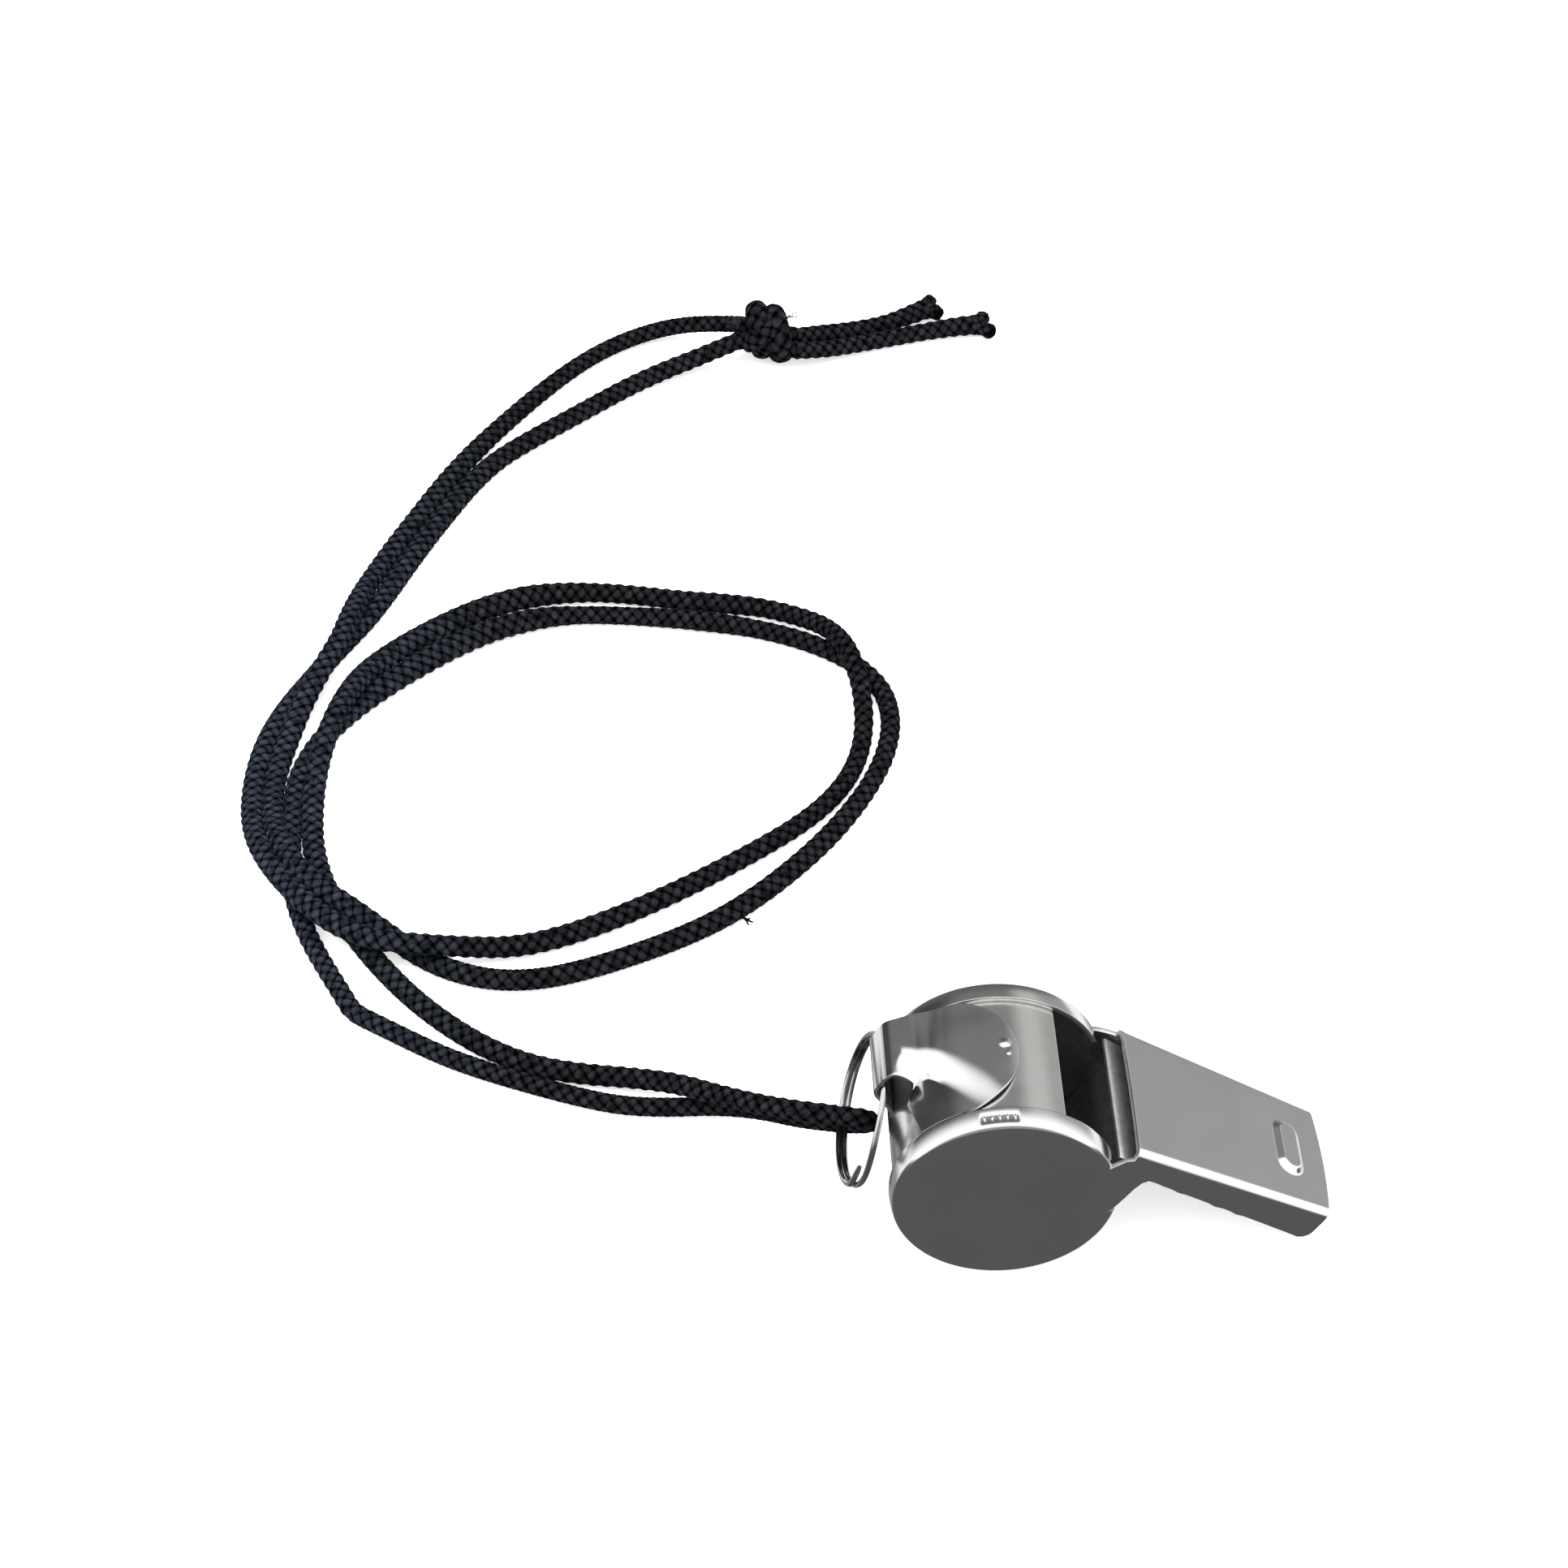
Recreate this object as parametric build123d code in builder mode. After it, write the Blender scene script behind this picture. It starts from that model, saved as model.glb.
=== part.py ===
"""Pressed-metal pea whistle with a split ring and a doubled cord lanyard.

The whistle stands as it lies on a table: on the rims of its two cheeks and on the
underside of the mouthpiece tip.  +X runs to the mouthpiece, +Z is up, millimetres.
"""
import math
import os

from build123d import *

os.makedirs("parts", exist_ok=True)

# ---------------------------------------------------------------- driving dimensions
SHEET = 0.5              # thickness of every pressed sheet
CHEEK_R = 11.0           # outer radius of the two cheeks
HALF_W = 9.3             # half of the width over the cheeks
RIM_DEPTH = 2.3          # how far each cheek's turned rim reaches inward
RIM_ROUND = 0.7          # outer rounding between cheek face and rim
BAND_R = 10.48           # outer radius of the barrel band, inside the rims
TILT = 32.13             # mouthpiece slope as the whistle lies on the table, degrees
TOP_Z = 10.7             # outside of the mouthpiece top plate, from the barrel axis
TOP_REAR = 8.1           # rear edge of the top plate, along the mouthpiece
TIP_X = 31.45            # mouthpiece tip, along the mouthpiece
ROOT_HALF_W = 8.25       # half width of the mouthpiece at its rear edge
TIP_HALF_W = 6.95        # half width of the mouthpiece at its tip
ROOT_LOW = 7.75          # lower edge of the mouthpiece wall at its root
TIP_LOW = 6.62           # lower edge of the mouthpiece wall at its tip
LIP_ANGLE = 88.0         # edge of the sounding window on the barrel band
PEA_R = 4.6              # radius of the ball
PEA_ORBIT = 5.3          # distance of the ball's centre from the barrel axis
RING_R = 7.4             # centreline radius of the split ring
RING_WIRE = 0.62         # wire diameter of the split ring
CORD_D = 2.1             # cord diameter

BX, BY = -8.367, -0.855  # barrel axis in X, middle of the whistle in Y
RING_C = (BX - 12.72, BY + 3.3, 10.85)
RING_LEAN = 18.0         # lean of the hanging ring from upright, degrees

ct, st = math.cos(math.radians(TILT)), math.sin(math.radians(TILT))
XM, ZM = (ct, 0, -st), (st, 0, ct)
CENTRE = (BX, BY, CHEEK_R)


def at(x, y, z):
    """A point given along the mouthpiece, across, and square to the top plate."""
    return (BX + ct * x + st * z, BY + y, CHEEK_R - st * x + ct * z)


SIDE = Plane(origin=CENTRE, x_dir=XM, z_dir=(0, -1, 0))    # sketch: along, up
AXIAL = Plane(origin=CENTRE, x_dir=XM, z_dir=ZM)           # sketch: along, across
BARREL = Axis(CENTRE, (0, 1, 0))


def level(z):
    return Plane(origin=at(0, 0, z), x_dir=XM, z_dir=ZM)


def station(x):
    return Plane(origin=at(x, 0, 0), x_dir=(0, 1, 0), z_dir=XM)


def polar(r, deg):
    return (r * math.cos(math.radians(deg)), r * math.sin(math.radians(deg)))


# inner face of the side walls, seen from above (along, half width)
WALL_IN = [(5.4, 8.66), (9.0, 7.66), (13.0, 7.42), (32.0, 6.38)]

# ---------------------------------------------------------------- body shell
# one folded sheet: both cheeks with turned rims, the mouthpiece walls and its top plate
with BuildPart() as body_shell:
    for side in (1, -1):
        with BuildSketch(AXIAL):
            with BuildLine():
                y0, y1, y2 = HALF_W * side, (HALF_W - RIM_DEPTH) * side, (HALF_W - SHEET) * side
                yc = (HALF_W - RIM_ROUND) * side
                xc = CHEEK_R - RIM_ROUND
                d = math.sqrt(0.5)
                ri = RIM_ROUND - SHEET
                Line((0, y0), (xc, y0))
                ThreePointArc((xc, y0), (xc + RIM_ROUND * d, yc + RIM_ROUND * d * side), (CHEEK_R, yc))
                Line((CHEEK_R, yc), (CHEEK_R, y1))
                Line((CHEEK_R, y1), (CHEEK_R - SHEET, y1))
                Line((CHEEK_R - SHEET, y1), (CHEEK_R - SHEET, yc))
                ThreePointArc((CHEEK_R - SHEET, yc), (xc + ri * d, yc + ri * d * side), (xc, y2))
                Line((xc, y2), (0, y2))
                Line((0, y2), (0, y0))
            make_face()
        revolve(axis=BARREL, revolution_arc=360)
    # the rims stop at the neck, where the mouthpiece leaves the barrel
    with BuildSketch(SIDE):
        with BuildLine():
            Polyline((0, 0), polar(16, 19.5), polar(16, 53), (0, 0))
        make_face()
    extrude(amount=HALF_W - SHEET, both=True, mode=Mode.SUBTRACT)
    # neck walls, stepping in from the cheeks to the mouthpiece
    for side in (1, -1):
        with BuildPart(mode=Mode.PRIVATE) as neck:
            with BuildSketch(level(2.0)):
                with BuildLine():
                    Polyline(
                        (4.0, 9.3 * side), (6.0, 9.3 * side), (9.4, 8.25 * side), (12.6, 8.0 * side),
                        (12.6, 7.5 * side), (9.2, 7.74 * side), (5.8, 8.8 * side), (4.0, 8.8 * side),
                        (4.0, 9.3 * side),
                    )
                make_face()
            extrude(amount=8.7)
            with BuildSketch(SIDE):
                with BuildLine():
                    Polyline(
                        polar(10.9, 54), (TOP_REAR, 9.75), (TOP_REAR, 10.0), (12.6, 10.0),
                        (12.6, ROOT_LOW - 0.07), (11.4, ROOT_LOW), polar(10.95, 23), (3.5, 2.0),
                        polar(10.9, 54),
                    )
                make_face()
            extrude(amount=12, both=True, mode=Mode.INTERSECT)
        add(neck.part)
    # mouthpiece channel: top plate and walls, tapering to the tip
    with BuildPart(mode=Mode.PRIVATE) as channel:
        far = TIP_X + 0.4
        for x, w, low in ((TOP_REAR, ROOT_HALF_W, ROOT_LOW + 0.18), (far, TIP_HALF_W, TIP_LOW - 0.02)):
            with BuildSketch(station(x)) as outer:
                with BuildLine():
                    FilletPolyline(
                        (w, low), (w, TOP_Z), (-w, TOP_Z), (-w, low), radius=1.0)
                    Line((-w, low), (w, low))
                make_face()
        loft()
        with BuildPart(mode=Mode.PRIVATE) as inside:
            for x, w in ((TOP_REAR - 0.5, ROOT_HALF_W + 0.028), (far + 0.5, TIP_HALF_W - 0.028)):
                w = w - SHEET
                with BuildSketch(station(x)):
                    with BuildLine():
                        FilletPolyline(
                            (w, 4.0), (w, TOP_Z - SHEET), (-w, TOP_Z - SHEET), (-w, 4.0), radius=0.5)
                        Line((-w, 4.0), (w, 4.0))
                    make_face()
            loft()
        add(inside.part, mode=Mode.SUBTRACT)
        # rounded tip, seen from above and from the side
        with BuildSketch(level(4.0)):
            with BuildLine():
                Polyline((TIP_X - 0.45, 7.4), (5.0, 9.5), (5.0, -9.5), (TIP_X - 0.45, -7.4))
                ThreePointArc((TIP_X - 0.45, -7.4), (TIP_X, 0), (TIP_X - 0.45, 7.4))
            make_face()
        extrude(amount=10, mode=Mode.INTERSECT)
        with BuildSketch(SIDE):
            with BuildLine():
                Polyline((5, 13), (5, ROOT_LOW), (11.4, ROOT_LOW), (TIP_X, TIP_LOW), (TIP_X, 13), (5, 13))
            make_face()
            fillet([v for v in vertices() if abs(v.X - TIP_X) < 0.01 and v.Y < 8], radius=1.1)
        extrude(amount=12, both=True, mode=Mode.INTERSECT)
    add(channel.part)
    # raised bite stop near the tip
    with BuildSketch(level(TOP_Z - 0.05)):
        with Locations((27.2, 0.1)):
            SlotOverall(6.8, 3.2, rotation=90)
    extrude(amount=0.5, taper=38)
body_shell.part.label = "body_shell"
export_step(body_shell.part, "parts/body_shell.step")

# ---------------------------------------------------------------- barrel band
# chamber wall from the lip over the back and belly, then the mouthpiece floor
with BuildPart() as barrel_band:
    ro, ri = BAND_R, BAND_R - SHEET
    with BuildSketch(SIDE):
        with BuildLine():
            ThreePointArc(polar(ro, LIP_ANGLE), polar(ro, 200), polar(ro, 380))
            Line(polar(ro, 380), (11.3, ROOT_LOW + 0.05))
            Line((11.3, ROOT_LOW + 0.05), (TIP_X - 0.9, TIP_LOW + 0.1))
            Line((TIP_X - 0.9, TIP_LOW + 0.1), (TIP_X - 0.87, TIP_LOW + 0.1 + SHEET))
            Line((TIP_X - 0.87, TIP_LOW + 0.1 + SHEET), (10.93, ROOT_LOW + 0.05 + SHEET))
            Line((10.93, ROOT_LOW + 0.05 + SHEET), polar(ri, 380))
            ThreePointArc(polar(ri, 380), polar(ri, 200), polar(ri, LIP_ANGLE))
            Line(polar(ri, LIP_ANGLE), polar(ro, LIP_ANGLE))
        make_face()
    extrude(amount=12, both=True)
    with BuildSketch(level(-12)):
        pts = [(-12, 8.66)] + WALL_IN
        with BuildLine():
            Polyline(*pts, *[(x, -y) for x, y in reversed(pts)], close=True)
        make_face()
    extrude(amount=24, mode=Mode.INTERSECT)
barrel_band.part.label = "barrel_band"
export_step(barrel_band.part, "parts/barrel_band.step")

# ---------------------------------------------------------------- windway plate
# lies on the mouthpiece floor; its rear edge is the lower edge of the air slot
with BuildPart() as windway_plate:
    slope = (TIP_LOW + 0.1 - ROOT_LOW - 0.05) / (TIP_X - 0.9 - 11.3)
    base = ROOT_LOW + 0.05 + SHEET + 0.03

    def on_floor(x, up):
        return (x, base + slope * (x - 10.93) + up)

    with BuildSketch(SIDE):
        with BuildLine():
            Polyline(on_floor(7.4, 0.12), on_floor(7.4, SHEET), on_floor(28.5, SHEET),
                     on_floor(29.6, 0.15), on_floor(29.6, 0), on_floor(7.6, 0), close=True)
        make_face()
    extrude(amount=12, both=True)
    with BuildSketch(level(4)):
        pts = [(7.0, 7.7)] + WALL_IN[1:]
        with BuildLine():
            Polyline(*pts, *[(x, -y) for x, y in reversed(pts)], close=True)
        make_face()
    extrude(amount=10, mode=Mode.INTERSECT)
windway_plate.part.label = "windway_plate"
export_step(windway_plate.part, "parts/windway_plate.step")

# ---------------------------------------------------------------- ring lug
# leaf spot-welded to the back of the barrel; its far part stands up into a hood that the ring
# passes under, and its near part lies on the barrel and ends in a point
LUG_R = BAND_R + SHEET / 2 + 0.02
LUG_NEAR, LUG_FAR = -6.9, 6.7
HOOD_NEAR = -0.4         # near edge of the hood, across
HOOD_SIDE = Plane(origin=at(0, HOOD_NEAR, 0), x_dir=XM, z_dir=(0, -1, 0))
LEAF = [polar(LUG_R, a) for a in range(110, 146, 6)]
HOOD = [(-13.68, 1.10), (-13.68, -1.55), (-11.0, -2.80)]
TAIL = [polar(LUG_R, a) for a in range(199, 218, 6)]
FLANK = [polar(LUG_R, a) for a in range(146, 182, 6)]


def sheet_radii(run):
    """Bend radius at each inner point of a sheet's line, 12 mm at most."""
    out = []
    for p, q, r in zip(run, run[1:], run[2:]):
        u, v = Vector(*q) - Vector(*p), Vector(*r) - Vector(*q)
        turn = math.radians(u.get_angle(v))
        out.append(min(0.45 * min(u.length, v.length) / math.tan(turn / 2), 12.0))
    return out


with BuildPart() as ring_lug:
    with BuildSketch(HOOD_SIDE):
        with BuildLine():
            FilletPolyline(*LEAF, *HOOD, *TAIL, radius=sheet_radii(LEAF + HOOD + TAIL))
        trace(line_width=SHEET)
    extrude(amount=HOOD_NEAR - LUG_FAR)
    with BuildSketch(HOOD_SIDE):
        with BuildLine():
            FilletPolyline(*LEAF, *FLANK, radius=sheet_radii(LEAF + FLANK))
        trace(line_width=SHEET)
    extrude(amount=HOOD_NEAR - LUG_NEAR)
    # rounded front of the leaf
    cl, sl = polar(1, 128)
    out_dir = Vector(*XM) * cl + Vector(*ZM) * sl
    fwd_dir = Vector(*XM) * sl - Vector(*ZM) * cl
    with BuildSketch(Plane(origin=at(12.5 * cl, 0, 12.5 * sl), x_dir=fwd_dir, z_dir=out_dir)):
        with Locations((1.58, 0)):
            Rectangle(11.0, 16.0)
        with Locations((-3.92, 0)):
            Circle(6.95, mode=Mode.SUBTRACT)
    extrude(amount=-3.5, mode=Mode.SUBTRACT)
    # the near part's lower edge runs down to its point and back up to the hood
    with BuildSketch(station(-9.0)):
        with BuildLine():
            Polyline((-7.4, 2.6), (LUG_NEAR, 2.49), (-2.5, 0.75), (-1.3, 2.6), (HOOD_NEAR, 2.6),
                     (HOOD_NEAR, -2.0), (-7.4, -2.0), close=True)
        make_face()
    extrude(amount=-3.5, mode=Mode.SUBTRACT)
ring_lug.part.label = "ring_lug"
export_step(ring_lug.part, "parts/ring_lug.step")

# ---------------------------------------------------------------- split ring
# one full turn of wire and a second turn lying beside it on the far side
lean = math.radians(RING_LEAN)
RN = (math.cos(lean), 0, -math.sin(lean))      # ring axis
RD = (-math.sin(lean), 0, -math.cos(lean))     # down, in the ring's plane
with BuildPart() as split_ring:
    for shift, start, arc in ((-0.28, 0, 360), (0.28, -62, 165)):
        a = math.radians(start)
        radial = (math.sin(a) * RD[0], math.cos(a), math.sin(a) * RD[2])
        square = Vector(*radial).cross(Vector(*RN))
        with BuildSketch(Plane(origin=RING_C, x_dir=radial, z_dir=square)):
            with Locations((RING_R, shift)):
                Circle(RING_WIRE / 2)
        revolve(axis=Axis(RING_C, (-RN[0], 0, -RN[2])), revolution_arc=arc)
split_ring.part.label = "split_ring"
export_step(split_ring.part, "parts/split_ring.step")

# ---------------------------------------------------------------- pea
with BuildPart() as pea:
    with Locations((BX, BY, CHEEK_R - PEA_ORBIT)):
        Sphere(PEA_R)
pea.part.label = "pea"
export_step(pea.part, "parts/pea.step")

# ---------------------------------------------------------------- cord routes
# centre lines of the two strands from the knot to the ring, of the turn through the ring
# and of the two tails
STRAND_A = [
    (-28.45, 139.67, 3.50), (-33.18, 141.55, 2.61), (-38.16, 142.27, 1.61),
    (-43.07, 140.83, 1.07), (-47.32, 137.84, 1.05), (-51.03, 134.13, 1.05),
    (-54.43, 130.08, 1.05), (-57.66, 125.86, 1.05), (-60.76, 121.51, 1.05),
    (-63.59, 116.96, 1.05), (-66.13, 112.27, 1.05), (-68.50, 107.50, 1.05),
    (-70.87, 102.78, 1.05), (-72.95, 97.99, 1.18), (-74.45, 93.14, 2.13),
    (-75.46, 88.28, 3.25), (-76.50, 83.40, 3.54), (-78.50, 78.93, 3.16), (-80.46, 74.65, 2.00),
    (-81.82, 70.14, 1.12), (-82.81, 65.52, 1.05), (-83.19, 60.87, 1.19), (-82.90, 56.32, 2.03),
    (-81.87, 51.95, 3.06), (-80.01, 47.79, 3.58), (-77.34, 44.05, 3.67), (-73.77, 41.16, 3.30),
    (-70.14, 38.58, 1.93), (-66.60, 35.61, 1.05), (-62.68, 32.89, 1.05), (-58.12, 31.29, 1.05),
    (-53.23, 31.19, 1.05), (-48.39, 32.35, 1.05), (-43.63, 34.08, 1.05), (-38.92, 36.10, 1.05),
    (-34.39, 38.62, 1.05), (-30.25, 41.82, 1.05), (-26.44, 45.48, 1.05), (-22.90, 49.43, 1.05),
    (-19.76, 53.73, 1.05), (-17.06, 58.33, 1.05), (-15.06, 63.28, 1.05), (-14.15, 68.53, 1.05),
    (-14.91, 73.79, 1.05), (-17.81, 78.24, 1.05), (-21.98, 81.61, 1.05), (-26.73, 84.12, 1.05),
    (-31.83, 85.90, 1.05), (-37.11, 87.20, 1.05), (-42.50, 88.04, 1.05), (-47.93, 88.75, 1.05),
    (-53.41, 88.73, 1.05), (-58.69, 87.25, 1.05), (-63.49, 84.56, 1.05), (-67.91, 81.25, 1.05),
    (-72.05, 77.61, 1.05), (-75.71, 73.49, 1.05), (-78.67, 68.86, 1.05), (-80.50, 63.69, 1.05),
    (-80.91, 58.22, 1.05), (-80.79, 52.74, 1.05), (-80.42, 47.29, 1.05), (-79.24, 41.97, 1.05),
    (-77.38, 36.89, 1.05), (-75.19, 31.97, 1.05), (-72.36, 27.46, 1.05), (-68.33, 24.05, 1.05),
    (-63.88, 21.28, 1.05), (-59.31, 18.81, 1.05), (-54.66, 16.66, 1.05), (-49.99, 14.68, 1.05),
    (-45.27, 13.05, 1.05), (-40.35, 12.48, 1.05), (-35.48, 12.26, 1.24), (-31.17, 10.41, 2.43),
    (-27.23, 7.95, 3.58), (-24.07, 7.51, 3.30),
]
STRAND_B = [
    (-28.65, 137.21, 3.00), (-33.45, 135.62, 2.03), (-38.28, 134.00, 1.26),
    (-42.73, 131.38, 1.05), (-46.81, 128.16, 1.05), (-50.90, 124.87, 1.05),
    (-55.05, 121.61, 1.05), (-59.01, 118.07, 1.05), (-62.16, 113.75, 1.05),
    (-64.69, 109.00, 1.05), (-67.14, 104.17, 1.05), (-69.44, 99.25, 1.05),
    (-71.61, 94.27, 1.05), (-73.97, 89.40, 1.05), (-76.87, 84.84, 1.05), (-79.57, 80.21, 1.05),
    (-82.17, 75.57, 1.05), (-84.14, 70.70, 1.05), (-85.17, 65.59, 1.05), (-85.42, 60.45, 1.22),
    (-84.97, 55.43, 2.01), (-83.72, 50.63, 3.01), (-81.55, 46.14, 3.46), (-78.65, 42.07, 3.50),
    (-75.27, 38.41, 3.50), (-71.13, 35.68, 3.63), (-66.27, 34.74, 3.59), (-61.45, 35.26, 2.27),
    (-56.54, 35.87, 1.16), (-51.60, 37.06, 1.05), (-46.87, 38.97, 1.05), (-42.29, 41.25, 1.05),
    (-37.82, 43.75, 1.05), (-33.51, 46.48, 1.05), (-29.31, 49.32, 1.05), (-25.29, 52.36, 1.05),
    (-21.76, 55.88, 1.05), (-19.15, 60.06, 1.05), (-17.66, 64.71, 1.14), (-17.20, 69.45, 2.01),
    (-17.62, 74.08, 3.22), (-18.74, 78.71, 3.54), (-20.70, 82.93, 2.57), (-23.80, 86.33, 1.36),
    (-27.99, 88.58, 1.05), (-32.67, 89.60, 1.05), (-37.41, 90.47, 1.05), (-42.10, 91.68, 1.05),
    (-46.87, 92.60, 1.05), (-51.75, 92.85, 1.05), (-56.58, 92.19, 1.05), (-61.10, 90.31, 1.05),
    (-65.31, 87.77, 1.05), (-69.22, 84.78, 1.08), (-72.46, 81.12, 1.71), (-74.61, 76.82, 2.90),
    (-76.13, 72.11, 3.52), (-77.59, 67.36, 2.92), (-78.51, 62.55, 1.65), (-78.70, 57.47, 1.05),
    (-78.34, 52.32, 1.05), (-77.10, 47.26, 1.05), (-75.08, 42.41, 1.05), (-72.60, 37.73, 1.05),
    (-69.75, 33.23, 1.05), (-66.52, 28.97, 1.05), (-62.86, 25.09, 1.05), (-58.79, 21.65, 1.05),
    (-54.18, 19.02, 1.05), (-49.10, 17.58, 1.05), (-43.97, 16.49, 1.35), (-39.41, 14.31, 2.62),
    (-35.46, 11.25, 4.06), (-31.43, 8.39, 5.55), (-27.21, 5.96, 6.93), (-24.05, 5.51, 6.65),
]
BIGHT = [
    (-23.82, 7.47, 3.28), (-22.24, 7.25, 3.14), (-21.11, 6.51, 4.02), (-21.10, 5.68, 5.40),
    (-22.22, 5.26, 6.49), (-23.81, 5.48, 6.63),
]
TAIL_A = [
    (-21.85, 136.93, 3.30), (-19.05, 138.36, 2.50), (-16.25, 139.49, 1.80),
    (-13.44, 140.47, 1.35), (-10.62, 141.51, 1.10), (-7.97, 142.73, 1.05),
    (-5.61, 144.08, 1.05), (-3.91, 144.89, 1.05),
]
TAIL_B = [
    (-21.96, 134.69, 2.80), (-18.99, 135.67, 2.00), (-15.89, 136.83, 1.45),
    (-12.78, 137.90, 1.15), (-9.57, 138.71, 1.05), (-6.24, 139.46, 1.05),
    (-2.92, 140.13, 1.05), (-0.23, 140.52, 1.05), (1.93, 140.60, 1.05),
]


def arc_radii(points):
    """Bend radius at each inner point: 0.45 of the shorter run beside it."""
    out = []
    for p, q, r in zip(points, points[1:], points[2:]):
        u, v = Vector(*q) - Vector(*p), Vector(*r) - Vector(*q)
        turn = math.radians(u.get_angle(v))
        out.append(0.45 * min(u.length, v.length) / math.tan(turn / 2))
    return out


def cord_report(name, points, solid, line):
    area = math.pi * CORD_D ** 2 / 4
    length = sum(edge.length for edge in line.edges())
    print(f"{name}: {len(points)} points, least bend radius {min(arc_radii(points)):.2f} mm, "
          f"length {length:.1f} mm, volume {solid.volume:.1f} mm3, "
          f"section x length {area * length:.1f} mm3")


# ---------------------------------------------------------------- cord strands
with BuildPart() as cord_strand_a:
    with BuildLine() as route:
        FilletPolyline(*STRAND_A, radius=arc_radii(STRAND_A))
    with BuildSketch(Plane(origin=route.line @ 0, z_dir=route.line % 0)):
        Circle(CORD_D / 2)
    sweep(path=route.line)
cord_report("cord_strand_a", STRAND_A, cord_strand_a.part, route.line)
cord_strand_a.part.label = "cord_strand_a"
export_step(cord_strand_a.part, "parts/cord_strand_a.step")

with BuildPart() as cord_strand_b:
    with BuildLine() as route:
        FilletPolyline(*STRAND_B, radius=arc_radii(STRAND_B))
    with BuildSketch(Plane(origin=route.line @ 0, z_dir=route.line % 0)):
        Circle(CORD_D / 2)
    sweep(path=route.line)
cord_report("cord_strand_b", STRAND_B, cord_strand_b.part, route.line)
cord_strand_b.part.label = "cord_strand_b"
export_step(cord_strand_b.part, "parts/cord_strand_b.step")

with BuildPart() as cord_bight:
    with BuildLine() as route:
        FilletPolyline(*BIGHT, radius=arc_radii(BIGHT))
    with BuildSketch(Plane(origin=route.line @ 0, z_dir=route.line % 0)):
        Circle(CORD_D / 2)
    sweep(path=route.line)
cord_report("cord_bight", BIGHT, cord_bight.part, route.line)
cord_bight.part.label = "cord_bight"
export_step(cord_bight.part, "parts/cord_bight.step")

# ---------------------------------------------------------------- knot and tails
# overhand knot of the doubled cord: two turns side by side, leaning with the pull, their core,
# and the four stubs that leave it
KNOT_TURN_R = 2.68       # centreline radius of each turn
KNOT_TURNS = (((-26.25, 137.90, 3.85), (0.990, 0.097, 0.101)),
              ((-23.98, 136.98, 3.85), (0.990, 0.127, 0.081)))
with BuildPart() as cord_knot:
    for centre, lean in KNOT_TURNS:
        with Locations(Plane(origin=centre, z_dir=lean)):
            Torus(KNOT_TURN_R, CORD_D / 2 + 0.05)
    with Locations((-25.1, 137.45, 3.8)):
        Sphere(2.6)
    for points in (STRAND_A, STRAND_B, TAIL_A, TAIL_B):
        end = Vector(*points[0])
        with BuildSketch(Plane(origin=end, z_dir=end - Vector(*points[1]))):
            Circle(CORD_D / 2)
        extrude(amount=2.6)
cord_knot.part.label = "cord_knot"
export_step(cord_knot.part, "parts/cord_knot.step")

with BuildPart() as cord_tail_a:
    with BuildLine() as route:
        FilletPolyline(*TAIL_A, radius=arc_radii(TAIL_A))
    with BuildSketch(Plane(origin=route.line @ 0, z_dir=route.line % 0)):
        Circle(CORD_D / 2)
    sweep(path=route.line)
cord_report("cord_tail_a", TAIL_A, cord_tail_a.part, route.line)
cord_tail_a.part.label = "cord_tail_a"
export_step(cord_tail_a.part, "parts/cord_tail_a.step")

with BuildPart() as cord_tail_b:
    with BuildLine() as route:
        FilletPolyline(*TAIL_B, radius=arc_radii(TAIL_B))
    with BuildSketch(Plane(origin=route.line @ 0, z_dir=route.line % 0)):
        Circle(CORD_D / 2)
    sweep(path=route.line)
cord_report("cord_tail_b", TAIL_B, cord_tail_b.part, route.line)
cord_tail_b.part.label = "cord_tail_b"
export_step(cord_tail_b.part, "parts/cord_tail_b.step")
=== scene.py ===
import math

import bmesh
import bpy
import numpy as np
from mathutils import Matrix, Vector


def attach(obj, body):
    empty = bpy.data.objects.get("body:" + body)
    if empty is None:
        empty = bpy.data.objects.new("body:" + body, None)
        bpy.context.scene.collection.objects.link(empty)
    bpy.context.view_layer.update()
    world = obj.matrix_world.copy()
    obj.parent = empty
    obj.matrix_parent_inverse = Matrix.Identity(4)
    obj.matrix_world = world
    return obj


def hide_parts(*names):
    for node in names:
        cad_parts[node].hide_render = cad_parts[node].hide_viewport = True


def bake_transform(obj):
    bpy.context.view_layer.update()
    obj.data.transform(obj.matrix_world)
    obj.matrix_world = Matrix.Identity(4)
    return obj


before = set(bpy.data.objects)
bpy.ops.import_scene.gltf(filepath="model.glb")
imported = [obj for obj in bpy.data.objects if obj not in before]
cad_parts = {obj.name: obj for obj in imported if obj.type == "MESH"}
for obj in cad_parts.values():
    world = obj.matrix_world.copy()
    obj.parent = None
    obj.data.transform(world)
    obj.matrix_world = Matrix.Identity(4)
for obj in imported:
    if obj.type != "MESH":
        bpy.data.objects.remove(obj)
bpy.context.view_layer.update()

MM = 0.001

# ------------------------------------------------------------------ the whistle's own axes
# along the mouthpiece, across, and square to its top plate, from the middle of the barrel
TILT = math.radians(32.13)
CT, ST = math.cos(TILT), math.sin(TILT)
BX, BY, BZ = -8.367, -0.855, 11.0


def wp(x, y, z):
    return ((BX + CT * x + ST * z) * MM, (BY + y) * MM, (BZ - ST * x + CT * z) * MM)


def polar(r, deg):
    return (r * math.cos(math.radians(deg)), r * math.sin(math.radians(deg)))


def smooth01(t):
    t = min(1.0, max(0.0, t))
    return t * t * (3 - 2 * t)


def lerp(a, b, t):
    return a + (b - a) * t


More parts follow.
